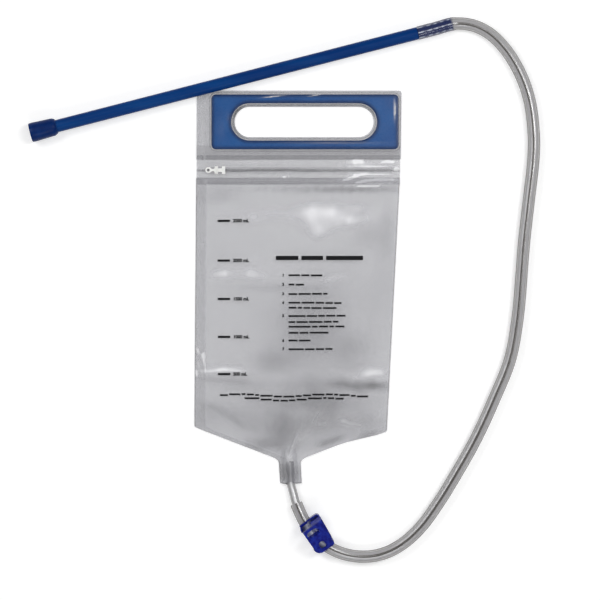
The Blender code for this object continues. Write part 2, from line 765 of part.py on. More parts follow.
def lower_strip_profile():
    """The zip's lower strip: a socket between two ribs on a flat web, the outer rib with a lip."""
    return [
        (-STRIP_REACH_DOWN, RIM_LOW),
        (MIDDLE_RIB, RIM_LOW),
        (MIDDLE_RIB, RIB_TOP),
        (SOCKET_HALF, RIB_TOP),
        (SOCKET_HALF, STRIP_TOP),
        (-SOCKET_HALF, STRIP_TOP),
        (-SOCKET_HALF, RIB_TOP),
        (LOW_RIB - ZIP_LIP, RIB_TOP),
        (LOW_RIB - ZIP_LIP, RIB_TOP - ZIP_LIP),
        (LOW_RIB, RIB_TOP - ZIP_LIP),
        (LOW_RIB, STRIP_TOP),
        (-STRIP_REACH_DOWN, STRIP_TOP),
    ]


def upper_strip_profile():
    """The zip's upper strip: a roof over the socket, with the tongue that goes down into it, on a web."""
    roof = RIDGE_TOP - ZIP_LIP
    return [
        (HIGH_RIB - RIB_WALL, RIM_LOW),
        (STRIP_REACH_UP, RIM_LOW),
        (STRIP_REACH_UP, STRIP_TOP),
        (HIGH_RIB, STRIP_TOP),
        (HIGH_RIB, roof),
        (HIGH_RIB + ZIP_LIP, roof),
        (HIGH_RIB + ZIP_LIP, RIDGE_TOP),
        (-TONGUE_WIDTH / 2, RIDGE_TOP),
        (-TONGUE_WIDTH / 2, STRIP_TOP + ZIP_PLAY),
        (TONGUE_WIDTH / 2, STRIP_TOP + ZIP_PLAY),
        (TONGUE_WIDTH / 2, roof),
        (HIGH_RIB - RIB_WALL, roof),
    ]


def make_zip_strips():
    """Both strips, from side to side of the bag, with the ridge crushed flat in the side welds."""
    start, end = ZIP_LEFT + STRIP_END_MARGIN, ZIP_RIGHT - STRIP_END_MARGIN
    high = RIDGE_TOP + MM
    reach = HIGH_RIB + ZIP_LIP + MM
    crush = STRIP_TOP + CRUSHED_RIDGE
    left_crush = box(
        "left_crush",
        (start - MM, TRACK_Y - reach, crush),
        (ZIP_LEFT + SIDE_WELD, TRACK_Y + reach, high),
    )
    right_crush = box(
        "right_crush",
        (end - CRUSH_RIGHT, TRACK_Y - reach, crush),
        (end + MM, TRACK_Y + reach, high),
    )
    tools = [put_cutter("left_crush", left_crush), put_cutter("right_crush", right_crush)]
    profiles = {"zip_strip_lower": lower_strip_profile(), "zip_strip_upper": upper_strip_profile()}
    for name, profile in profiles.items():
        strip = put(name, prism(name, [profile], start, end, ZIP_PLACE), "clear_vinyl")
        for tool in tools:
            boolean(strip, tool, "DIFFERENCE")


# The slider's place along the zip and across it
SLIDER_LEFT = ZIP_LEFT + SLIDER_START
SADDLE_LOW = LOW_RIB - ZIP_LIP - SEAT - SLIDER_WALL
SADDLE_HIGH = HIGH_RIB + ZIP_LIP + SEAT + SLIDER_WALL
SADDLE_TOP = RIDGE_TOP + SEAT + SLIDER_TOP
SLIDER_Y = TRACK_Y + (SADDLE_LOW + SADDLE_HIGH) / 2
PIN_X = SLIDER_LEFT + EAR_LENGTH / 2
PIN_Z = SADDLE_TOP + PULL_PIN_LIFT
EAR_INNER = PULL_HEEL / 2 + SEAT
EAR_OUTER = EAR_INNER + EAR_THICKNESS


def saddle_profile():
    """One end of the slider: a roof over the zip's ridge, with a leg either side that hooks under its lip."""
    roof = RIDGE_TOP + SEAT
    foot = STRIP_TOP + SEAT
    low_hook = RIB_TOP - ZIP_LIP - SEAT
    high_hook = RIDGE_TOP - ZIP_LIP - SEAT
    return [
        (SADDLE_LOW, foot),
        (LOW_RIB - SEAT, foot),
        (LOW_RIB - SEAT, low_hook),
        (SADDLE_LOW + SLIDER_WALL, low_hook),
        (SADDLE_LOW + SLIDER_WALL, roof),
        (SADDLE_HIGH - SLIDER_WALL, roof),
        (SADDLE_HIGH - SLIDER_WALL, high_hook),
        (HIGH_RIB + SEAT, high_hook),
        (HIGH_RIB + SEAT, foot),
        (SADDLE_HIGH, foot),
        (SADDLE_HIGH, SADDLE_TOP),
        (SADDLE_LOW, SADDLE_TOP),
    ]


def make_zip_slider():
    """The slider: two saddles joined by a narrow waist, and a pair of ears for the pull's pin."""
    right = SLIDER_LEFT + SLIDER_LENGTH
    profile = saddle_profile()
    left_saddle = prism("zip_slider", [profile], SLIDER_LEFT, SLIDER_LEFT + SLIDER_SADDLE, ZIP_PLACE)
    slider = put("zip_slider", left_saddle, "white_moulding")
    right_saddle = prism("right_saddle", [profile], right - SLIDER_SADDLE, right, ZIP_PLACE)
    boolean(slider, put_cutter("right_saddle", right_saddle), "UNION")
    waist = box(
        "waist",
        (SLIDER_LEFT + MM, SLIDER_Y - SLIDER_WAIST / 2, RIDGE_TOP + SEAT + 0.15 * MM),
        (right - MM, SLIDER_Y + SLIDER_WAIST / 2, SADDLE_TOP - 0.15 * MM),
    )
    boolean(slider, put_cutter("waist", waist), "UNION")
    for side, (inner, outer) in {"upper": (EAR_INNER, EAR_OUTER), "lower": (-EAR_OUTER, -EAR_INNER)}.items():
        ear = box(
            f"{side}_ear",
            (SLIDER_LEFT, SLIDER_Y + inner, SADDLE_TOP - 0.5 * MM),
            (SLIDER_LEFT + EAR_LENGTH, SLIDER_Y + outer, SADDLE_TOP + EAR_HEIGHT),
        )
        boolean(slider, put_cutter(f"{side}_ear", ear), "UNION")
    hole = turned(
        "pin_hole",
        rod(PULL_PIN_RADIUS + PIN_PLAY, EAR_OUTER + MM),
        Matrix.Translation((PIN_X, SLIDER_Y, PIN_Z)) @ Matrix.Rotation(math.pi / 2, 4, "X"),
        16,
    )
    boolean(slider, put_cutter("pin_hole", hole), "DIFFERENCE")


def make_zip_pull():
    """The slider's pull tab with a ring at its end, and its moulded pin. It lies flat to the left."""
    heel, neck, ring = PULL_HEEL / 2, PULL_NECK / 2, PULL_RING_RADIUS
    end = -PULL_REACH - ring
    outline = filleted(
        [
            (PULL_PIN_RADIUS, -heel, 0.4 * MM),
            (PULL_PIN_RADIUS, heel, 0.4 * MM),
            (-PULL_HEEL_RUN, heel, 0.4 * MM),
            (-PULL_NECK_START, neck, 0.7 * MM),
            (-PULL_NECK_END, neck, 0.7 * MM),
            (end + 1.5 * ring, ring, 0.67 * ring),
            (end, ring, 0.97 * ring),
            (end, -ring, 0.97 * ring),
            (end + 1.5 * ring, -ring, 0.67 * ring),
            (-PULL_NECK_END, -neck, 0.7 * MM),
            (-PULL_NECK_START, -neck, 0.7 * MM),
            (-PULL_HEEL_RUN, -heel, 0.4 * MM),
        ]
    )
    hole = filleted(rounded_box(2 * PULL_HOLE_RADIUS, 2 * PULL_HOLE_RADIUS, PULL_HOLE_RADIUS, (-PULL_REACH, 0)))
    place = Matrix.Translation((PIN_X, SLIDER_Y, PIN_Z))
    half = PULL_THICKNESS / 2
    pull = put("zip_pull", prism("zip_pull", [outline, hole], -half, half, place), "white_moulding")
    pin = turned(
        "pull_pin",
        rod(0.98 * PULL_PIN_RADIUS, EAR_OUTER),
        place @ Matrix.Rotation(math.pi / 2, 4, "X"),
        16,
    )
    boolean(pull, put_cutter("pull_pin", pin), "UNION")


def neck_point(share, level):
    """A point in the middle of the neck, a share of the way from its shoulders to its mouth."""
    return Vector((NECK_OFFSET + NECK_LEAN * share, SHOULDER_Y - NECK_LENGTH * share, level))


def hose_points():
    """The middle line from the outlet tube's start to the hose's mouth on the probe."""
    route = [
        neck_point(OUTLET_DEPTH / NECK_LENGTH, OUTLET_LEVEL),
        neck_point(0.5, OUTLET_LEVEL),
        neck_point(0.98, OUTLET_LEVEL + OUTLET_LIFT),
    ]
    route += [NECK_MOUTH + Vector(point) * MM for point in HOSE_FROM_NECK_MM]
    heel = Vector((PROBE_HEEL.x, PROBE_HEEL.y, 0.0))
    route += [heel + Vector(point) * MM for point in HOSE_TO_PROBE_MM]
    ends = [-BARB_LENGTH - BARB_LEAD, -BARB_LENGTH / 2, -SEAT]
    return smooth_line(route + [on_probe(end) for end in ends], HOSE_LINE_STEP)


HOSE_LINE = hose_points()
HOSE_START = nearest_length(HOSE_LINE, NECK_MOUTH + Vector(HOSE_FROM_NECK_MM[1]) * MM)
HOSE_END = line_lengths(HOSE_LINE)[-1]
CLAMP_PLACE = Matrix.Translation(CLAMP_AT) @ Matrix.Rotation(CLAMP_TURN, 4, "Z")


def length_at_wall(reach):
    """How far along the hose it passes a given place along the clamp."""
    back = CLAMP_PLACE.inverted()
    lengths = line_lengths(HOSE_LINE)
    for index, (start, end) in enumerate(zip(HOSE_LINE, HOSE_LINE[1:])):
        low, high = (back @ start).x, (back @ end).x
        if low <= reach < high and lengths[index] > HOSE_START:
            return lengths[index] + (lengths[index + 1] - lengths[index]) * (reach - low) / (high - low)
    return HOSE_END


CLAMP_ENTRY = length_at_wall(-CLAMP_FREE_REACH + CLAMP_WALL / 2)
CLAMP_EXIT = length_at_wall(CLAMP_HINGE_REACH - CLAMP_WALL / 2)


def tube_along(name, points, radius, radii=None):
    return as_mesh(tube_curve(name, points, radius, radii))


def lengthened(points, more):
    """The points with both ends carried straight on."""
    before = points[0] + (points[0] - points[1]).normalized() * more
    after = points[-1] + (points[-1] - points[-2]).normalized() * more
    return [before, *points, after]


def make_outlet_tube():
    """The bag's own outlet tube, from its neck into the hose."""
    points = stretch_of(HOSE_LINE, 0.0, HOSE_START + OUTLET_IN_HOSE, BEND_STATION)
    tube = put("outlet_tube", tube_along("outlet_tube", points, OUTLET_RADIUS), "clear_vinyl")
    bore = tube_along("outlet_bore", lengthened(points, 2 * MM), OUTLET_BORE_RADIUS)
    boolean(tube, put_cutter("outlet_bore", bore), "DIFFERENCE")
    smooth_round_sides(tube.data)


def make_hose_to_clamp():
    """The hose from its cut end, pushed over the outlet tube, to the clamp."""
    points = cut_stretch(HOSE_LINE, HOSE_START, CLAMP_ENTRY - SEAT / 2, BEND_STATION)
    hose = put("hose_to_clamp", tube_along("hose_to_clamp", points, HOSE_RADIUS), "clear_hose")
    start, end = HOSE_START - CUT_LEAD, HOSE_START + OUTLET_IN_HOSE + SEAT
    bore_points = stretch_of(HOSE_LINE, start, end, BEND_STATION)
    bore = tube_along("start_bore", bore_points, OUTLET_RADIUS + SEAT)
    boolean(hose, put_cutter("start_bore", bore), "DIFFERENCE")
    smooth_round_sides(hose.data)


def make_hose_in_clamp():
    """The short stretch that the clamp pinches."""
    points = cut_stretch(HOSE_LINE, CLAMP_ENTRY + SEAT / 2, CLAMP_EXIT - SEAT / 2, BEND_STATION)
    hose = put("hose_in_clamp", tube_along("hose_in_clamp", points, HOSE_RADIUS), "clear_hose")
    smooth_round_sides(hose.data)


def make_hose_to_probe():
    """The long stretch from the clamp round to the probe, stretched over the barb at its end."""
    cuff = HOSE_END - BARB_LENGTH - 2 * BARB_LEAD
    points = cut_stretch(HOSE_LINE, CLAMP_EXIT + SEAT / 2, CLAMP_EXIT + 6 * BEND_STATION, BEND_STATION)
    points += stretch_of(HOSE_LINE, CLAMP_EXIT + 6 * BEND_STATION, cuff, HOSE_STATION)[1:]
    radii = [HOSE_RADIUS] * len(points)
    over = stretch_of(HOSE_LINE, cuff, HOSE_END, 2 * BARB_LEAD)[1:]
    points += over
    radii += [HOSE_CUFF_RADIUS] * len(over)
    hose = put("hose_to_probe", tube_along("hose_to_probe", points, HOSE_RADIUS, radii), "clear_hose")
    bore_line = [on_probe(-BARB_LENGTH - SEAT), on_probe(CUT_LEAD)]
    bore = tube_along("end_bore", bore_line, BARB_RADIUS + SEAT)
    boolean(hose, put_cutter("end_bore", bore), "DIFFERENCE")
    smooth_round_sides(hose.data)


def clamp_right(along):
    """Where the clamp's right side lies at a place along it: it narrows towards the hinge."""
    share = (along + CLAMP_FREE_REACH) / (CLAMP_HINGE_REACH + CLAMP_FREE_REACH)
    return CLAMP_RIGHT_FREE + (CLAMP_RIGHT_HINGE - CLAMP_RIGHT_FREE) * share


def clamp_outline():
    """The clamp base's plan, with its free end at the left."""
    return filleted(
        [
            (-CLAMP_FREE_REACH, -CLAMP_LEFT, CLAMP_LEFT_RADIUS),
            (CLAMP_HINGE_REACH, -CLAMP_LEFT, CLAMP_LEFT_RADIUS),
            (CLAMP_HINGE_REACH, CLAMP_RIGHT_HINGE, CLAMP_RIGHT_RADIUS),
            (-CLAMP_FREE_REACH, CLAMP_RIGHT_FREE, CLAMP_RIGHT_RADIUS),
        ]
    )


def clamp_hollow():
    """The plan of the room between the end walls: inside them, and open to both sides in the middle."""
    wall, out = CLAMP_WALL, 2 * CLAMP_LEFT
    free, hinge = -CLAMP_FREE_REACH + wall, CLAMP_HINGE_REACH - wall
    start, end = -CLAMP_FREE_REACH + CLAMP_WALL_RUN_FREE, CLAMP_HINGE_REACH - CLAMP_WALL_RUN_HINGE
    left_radius, right_radius = CLAMP_LEFT_RADIUS - wall, CLAMP_RIGHT_RADIUS - wall
    return filleted(
        [
            (free, -CLAMP_LEFT + wall, left_radius),
            (start, -CLAMP_LEFT + wall, 0.0),
            (start, -out, 0.0),
            (end, -out, 0.0),
            (end, -CLAMP_LEFT + wall, 0.0),
            (hinge, -CLAMP_LEFT + wall, left_radius),
            (hinge, clamp_right(hinge) - wall, right_radius),
            (end, clamp_right(end) - wall, 0.0),
            (end, out, 0.0),
            (start, out, 0.0),
            (start, clamp_right(start) - wall, 0.0),
            (free, clamp_right(free) - wall, right_radius),
        ]
    )


def make_clamp_base():
    """The clamp's floor, its two end walls that the hose passes through, and the catch at the free end."""
    block = prism("clamp_base", [clamp_outline()], 0.0, CLAMP_WALL_TOP, CLAMP_PLACE)
    base = put("clamp_base", block, "blue_clamp")
    hollow = prism("clamp_hollow", [clamp_hollow()], CLAMP_FLOOR, CLAMP_WALL_TOP + MM, CLAMP_PLACE)
    boolean(base, put_cutter("clamp_hollow", hollow), "DIFFERENCE")
    route = stretch_of(HOSE_LINE, CLAMP_ENTRY - 8 * MM, CLAMP_EXIT + 16 * MM, BEND_STATION)
    passage = tube_along("hose_passage", route, HOSE_RADIUS + SEAT)
    boolean(base, put_cutter("hose_passage", passage), "DIFFERENCE")
    hook_low = ARM_AXIS_LEVEL + ARM_THICKNESS / 2 + SEAT
    outer = -CLAMP_FREE_REACH + CATCH_INSET
    inner = -CLAMP_FREE_REACH + CLAMP_WALL - CATCH_INSET
    catch = prism(
        "catch",
        [
            [
                (outer, CLAMP_WALL_TOP - CLAMP_LINTEL / 2),
                (inner, CLAMP_WALL_TOP - CLAMP_LINTEL / 2),
                (inner, hook_low),
                (inner + CATCH_HOOK, hook_low),
                (inner + CATCH_HOOK, hook_low + 0.4 * CATCH_HEIGHT),
                ((outer + inner) / 2, hook_low + CATCH_HEIGHT),
                (outer, hook_low + CATCH_HEIGHT),
            ]
        ],
        CATCH_RIGHT,
        CATCH_LEFT,
        CLAMP_PLACE @ Matrix.Rotation(math.pi / 2, 4, "X"),
    )
    boolean(base, put_cutter("catch", catch), "UNION")


# The arm swings about a line across the clamp, near its hinge end. Its own X runs back from the axis
ARM_PLACE = (
    CLAMP_PLACE
    @ Matrix.Translation((CLAMP_HINGE_REACH - ARM_AXIS_INSET, 0.0, ARM_AXIS_LEVEL))
    @ Matrix.Rotation(ARM_OPEN, 4, "Y")
)
ON_EDGE = Matrix.Rotation(math.pi / 2, 4, "X")


def window_outline(near, far, left, right):
    """A window in the arm, between two reaches from its axis and two distances off its middle line."""
    middle = (-(near + far) / 2, (right - left) / 2)
    radius = 0.4 * min(far - near, left + right)
    return filleted(rounded_box(far - near, left + right, radius, middle))


def make_clamp_arm():
    """The arm: a plate with two windows, a pinching ridge below it, a tongue and a flared thumb lip."""
    half = ARM_THICKNESS / 2
    flare = [
        (half, -half, 0.95 * half),
        (half, half, 0.95 * half),
        (-ARM_TONGUE_REACH - half / 2, half, 2 * ARM_THICKNESS),
        (-ARM_LIP_REACH, half + ARM_LIP_FLARE, 0.0),
        (-ARM_LIP_REACH - half / 2, ARM_LIP_FLARE - half, 0.0),
        (-ARM_TONGUE_REACH - half / 2, -half, 3 * ARM_THICKNESS),
    ]
    side = CLAMP_LEFT + ARM_LIP_SIDE + MM
    plate = prism("clamp_arm", [filleted(flare)], -side, side, ARM_PLACE @ ON_EDGE)
    arm = put("clamp_arm", plate, "blue_clamp")
    left = -CLAMP_LEFT + CLAMP_WALL
    plan = filleted(
        [
            (ARM_THICKNESS, left, 0.0),
            (ARM_THICKNESS, CLAMP_RIGHT_HINGE - half, 0.0),
            (-ARM_TONGUE_REACH, CLAMP_RIGHT_FREE - half, 4 * ARM_THICKNESS),
            (-ARM_LIP_REACH - half, CLAMP_RIGHT_FREE + ARM_LIP_SIDE, ARM_THICKNESS),
            (-ARM_LIP_REACH - half, half, ARM_THICKNESS),
            (-ARM_TONGUE_REACH, half / 2, half),
            (-ARM_TONGUE_REACH, left, ARM_THICKNESS),
        ]
    )
    windows = [window_outline(*ARM_OUTER_WINDOW), window_outline(*ARM_INNER_WINDOW)]
    deep = ARM_LIP_FLARE + 2 * ARM_THICKNESS
    plan_tool = prism("arm_plan", [plan, *windows], -deep, deep, ARM_PLACE)
    boolean(arm, put_cutter("arm_plan", plan_tool), "INTERSECT")
    tip_level = HOSE_BOTTOM + PINCHED_HOSE - ARM_AXIS_LEVEL
    ridge = [
        (-RIDGE_REACH - RIDGE_ROOT / 2, 0.0, 0.0),
        (-RIDGE_REACH - RIDGE_TIP / 2, tip_level, 0.45 * RIDGE_TIP),
        (-RIDGE_REACH + RIDGE_TIP / 2, tip_level, 0.45 * RIDGE_TIP),
        (-RIDGE_REACH + RIDGE_ROOT / 2, 0.0, 0.0),
    ]
    ridge_tool = prism("ridge", [filleted(ridge)], -RIDGE_RIGHT, RIDGE_LEFT, ARM_PLACE @ ON_EDGE)
    boolean(arm, put_cutter("ridge", ridge_tool), "UNION")


def make_probe_tube():
    """The probe's stiff blue tube, in the frame whose Z runs from the hose to the tip."""
    length = PROBE_TUBE_LENGTH - SEAT
    profile = [
        (PROBE_RADIUS, length),
        (PROBE_RADIUS, TUBE_EDGE),
        (PROBE_RADIUS - TUBE_EDGE, 0.0),
        (PROBE_BORE_RADIUS, 0.0),
        (PROBE_BORE_RADIUS, length),
    ]
    put("probe_tube", turned("probe_tube", profile, probe_place(0.0)), "navy_tube")


def make_probe_tip():
    """The tip: a sleeve over the tube's end, widening to a rounded mouth."""
    mouth = PROBE_TUBE_LENGTH + TIP_LIP
    heel = mouth - TIP_LENGTH
    middle = TIP_RADIUS - TIP_RIM_RADIUS
    rim = []
    for step in range(5):
        angle = math.pi / 2 * (1.0 - step / 4)
        rim.append((middle + TIP_RIM_RADIUS * math.cos(angle), mouth - TIP_RIM_RADIUS * (1.0 - math.sin(angle))))
    profile = [
        (PROBE_BORE_RADIUS + MM, mouth),
        *rim,
        (TIP_HEEL_RADIUS, heel + TIP_CHAMFER),
        (PROBE_RADIUS + SEAT + 2 * TUBE_EDGE, heel),
        (PROBE_RADIUS + SEAT, heel),
        (PROBE_RADIUS + SEAT, PROBE_TUBE_LENGTH),
        (PROBE_BORE_RADIUS, PROBE_TUBE_LENGTH),
        (PROBE_BORE_RADIUS, mouth - MM),
    ]
    put("probe_tip", turned("probe_tip", profile, probe_place(0.0), 32), "navy_tube")


def make_hose_barb():
    """The barbed spigot in the tube's end, with sawtooth ridges that hold the hose."""
    profile = [(BARB_ROOT_RADIUS, BARB_PLUG)]
    for ridge in BARB_RIDGES_MM:
        profile.append((BARB_ROOT_RADIUS, -ridge * MM + BARB_BITE))
        profile.append((BARB_RADIUS, -ridge * MM))
    profile += [
        (BARB_ROOT_RADIUS, -BARB_LENGTH),
        (BARB_BORE_RADIUS, -BARB_LENGTH),
        (BARB_BORE_RADIUS, BARB_PLUG),
    ]
    put("hose_barb", turned("hose_barb", profile, probe_place(0.0)), "navy_tube")


def settle():
    """Gives each node the solid that its modifiers make as its own mesh, smooth but for its edges."""
    bpy.context.view_layer.update()
    depsgraph = bpy.context.evaluated_depsgraph_get()
    solids = {made: bpy.data.meshes.new_from_object(made.evaluated_get(depsgraph)) for made in parts.objects}
    for made, mesh in solids.items():
        if made.type == "MESH":
            made.modifiers.clear()
            made.data = mesh
            smooth_round_sides(mesh)
    for cutter in list(cutters.objects):
        bpy.data.objects.remove(cutter, do_unlink=True)


make_back_film()
make_handle_plate()
make_handle_film()
make_zip_strips()
make_front_film()
make_zip_slider()
make_zip_pull()
make_outlet_tube()
make_hose_to_clamp()
make_hose_in_clamp()
make_hose_to_probe()
make_clamp_base()
make_clamp_arm()
make_probe_tube()
make_probe_tip()
make_hose_barb()
settle()
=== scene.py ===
"""Dresses the oral calf feeder: a clear bag with a zip and a blue carrying plate, and a hose to a blue probe.

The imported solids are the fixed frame. This script lays the bag's films over them with their folds and print,
draws the clear hose, its clamp and the probe, gives each piece the finish of the real material, and sets up a
pale studio seen from straight above. All sizes are in metres, and lists of places on the bag in millimetres.
"""

from __future__ import annotations

import logging
import math
from collections.abc import Iterable, Sequence
from dataclasses import dataclass, field
from enum import Enum

import bmesh
import bpy
import numpy as np
from bmesh.types import BMEdge, BMesh, BMFace, BMVert
from bpy.types import Material, Mesh, Node, NodeSocket, NodeTree, Object
from mathutils import Matrix, Vector
from mathutils.bvhtree import BVHTree

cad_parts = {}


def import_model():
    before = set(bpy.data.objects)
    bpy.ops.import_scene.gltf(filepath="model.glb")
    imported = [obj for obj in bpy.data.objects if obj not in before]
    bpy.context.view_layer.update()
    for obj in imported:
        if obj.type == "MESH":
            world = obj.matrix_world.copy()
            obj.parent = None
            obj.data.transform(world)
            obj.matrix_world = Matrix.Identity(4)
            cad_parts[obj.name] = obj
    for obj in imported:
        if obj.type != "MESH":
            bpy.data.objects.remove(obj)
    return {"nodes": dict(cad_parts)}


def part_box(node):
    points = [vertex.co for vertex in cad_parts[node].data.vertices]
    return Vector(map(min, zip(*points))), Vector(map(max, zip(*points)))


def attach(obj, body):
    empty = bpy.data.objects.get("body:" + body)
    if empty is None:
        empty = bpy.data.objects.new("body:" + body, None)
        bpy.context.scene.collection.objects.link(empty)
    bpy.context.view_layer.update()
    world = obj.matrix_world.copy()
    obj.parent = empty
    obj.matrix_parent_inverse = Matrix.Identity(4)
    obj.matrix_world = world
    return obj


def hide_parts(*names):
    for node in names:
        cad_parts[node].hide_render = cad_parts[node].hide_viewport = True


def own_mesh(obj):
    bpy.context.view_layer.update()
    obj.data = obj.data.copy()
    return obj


log = logging.getLogger("feeder")

MM = 0.001

# The clear part of a see-through surface shows no gloss, so the rest has a higher index than PVC's 1.53
GLOSSY_IOR = 1.7

# The middle line of the outlet tube and the hose, the same points as in the part's source
HOSE_ROUTE: tuple[tuple[float, float, float], ...] = (
    (-0.01106, -0.2007, 0.00555),
    (-0.01035, -0.21235, 0.00555),
    (-0.00953, -0.22574, 0.0057),
    (-0.007, -0.2363, 0.0064),
    (-0.0035, -0.2487, 0.0079),
    (0.0053, -0.2682, 0.00945),
    (0.0128, -0.2805, 0.00945),
    (0.0224, -0.2909, 0.00945),
    (0.0341, -0.2991, 0.00945),
    (0.0499, -0.3062, 0.0086),
    (0.0681, -0.3097, 0.0076),
    (0.0866, -0.3089, 0.0073),
    (0.1048, -0.3032, 0.0073),
    (0.1229, -0.2921, 0.0073),
    (0.1415, -0.274, 0.0073),
    (0.1608, -0.2471, 0.0073),
    (0.1766, -0.2216, 0.0073),
    (0.2027, -0.1754, 0.0073),
    (0.224, -0.1294, 0.0073),
    (0.2424, -0.0834, 0.0073),
    (0.251, -0.0374, 0.0073),
    (0.259, 0.0546, 0.0073),
    (0.2642, 0.1006, 0.0073),
    (0.2694, 0.1466, 0.0073),
    (0.2699, 0.176, 0.0073),
    (0.265, 0.2151, 0.0073),
    (0.2542, 0.2462, 0.0073),
    (0.2372, 0.2741, 0.0073),
    (0.2187, 0.2924, 0.0073),
    (0.1996, 0.3016, 0.0074),
    (0.1789, 0.3036, 0.00692),
    (0.15615, 0.29773, 0.00712),
    (0.13659, 0.29268, 0.0073),
)
HOSE_BEGINS = 0.04896
CLAMP_ENTRY = 0.07245
CLAMP_EXIT = 0.11243
ROUTE_STEP = 0.002

# A height above every piece, from which a look straight down starts
LOOK_FROM = 0.1

# How many crossing ripples make a film's waves
RIPPLES = 7


class Body(Enum):
    """The bodies that the pieces ride on."""

    BAG = "bag"
    SLIDER = "slider"
    PULL = "pull"
    LEVER = "clamp_lever"
    PROBE = "probe"


class Slot(Enum):
    """The record's material slots."""

    FILM = "clear_film"
    TUBE = "clear_tube"
    PLATE = "blue_plate"
    SLIDER = "white_slider"
    CLAMP = "blue_clamp"
    PROBE = "navy_probe"


def linear(code: str) -> tuple[float, float, float, float]:
    """Turns an sRGB hex colour to the linear one that shaders take.

    Args:
        code: the colour as "#RRGGBB".

    Returns:
        Red, green, blue and an alpha of 1.
    """
    channels = [int(code[at : at + 2], 16) / 255 for at in (1, 3, 5)]
    red, green, blue = (c / 12.92 if c <= 0.04045 else ((c + 0.055) / 1.055) ** 2.4 for c in channels)
    return red, green, blue, 1.0


def grey(level: float) -> tuple[float, float, float, float]:
    """A grey for a ramp whose colour is read as a number."""
    return level, level, level, 1.0


def add_node(
    tree: NodeTree,
    kind: str,
    settings: dict[str | int, object] | None = None,
    links: dict[str | int, NodeSocket] | None = None,
    stops: Sequence[tuple[float, tuple[float, float, float, float]]] = (),
) -> Node:
    """Adds a shader node.

    Args:
        tree: the material's or the world's tree.
        kind: the node's type name.
        settings: values for its input sockets, by name or number, or else for its properties.
        links: the output that feeds each input socket.
        stops: where each colour of a ramp stands, in rising order, and the colour.

    Returns:
        The new node.
    """
    node = tree.nodes.new(kind)
    for key, value in (settings or {}).items():
        if isinstance(key, int) or key in node.inputs:
            node.inputs[key].default_value = value
        else:
            setattr(node, key, value)
    for key, source in (links or {}).items():
        tree.links.new(source, node.inputs[key])
    for index, (at, colour) in enumerate(stops):
        ramp = node.color_ramp.elements
        element = ramp[index] if index < len(ramp) else ramp.new(at)
        element.position = at
        element.color = colour
    return node


def blank_material(name: str) -> tuple[Material, NodeTree, Node]:
    """Makes a material that holds only its output.

    Args:
        name: the finish's name.

    Returns:
        The material, its tree and its output node.
    """
    material = bpy.data.materials.new(name)
    material.use_nodes = True
    tree = material.node_tree
    tree.nodes.clear()
    return material, tree, add_node(tree, "ShaderNodeOutputMaterial")


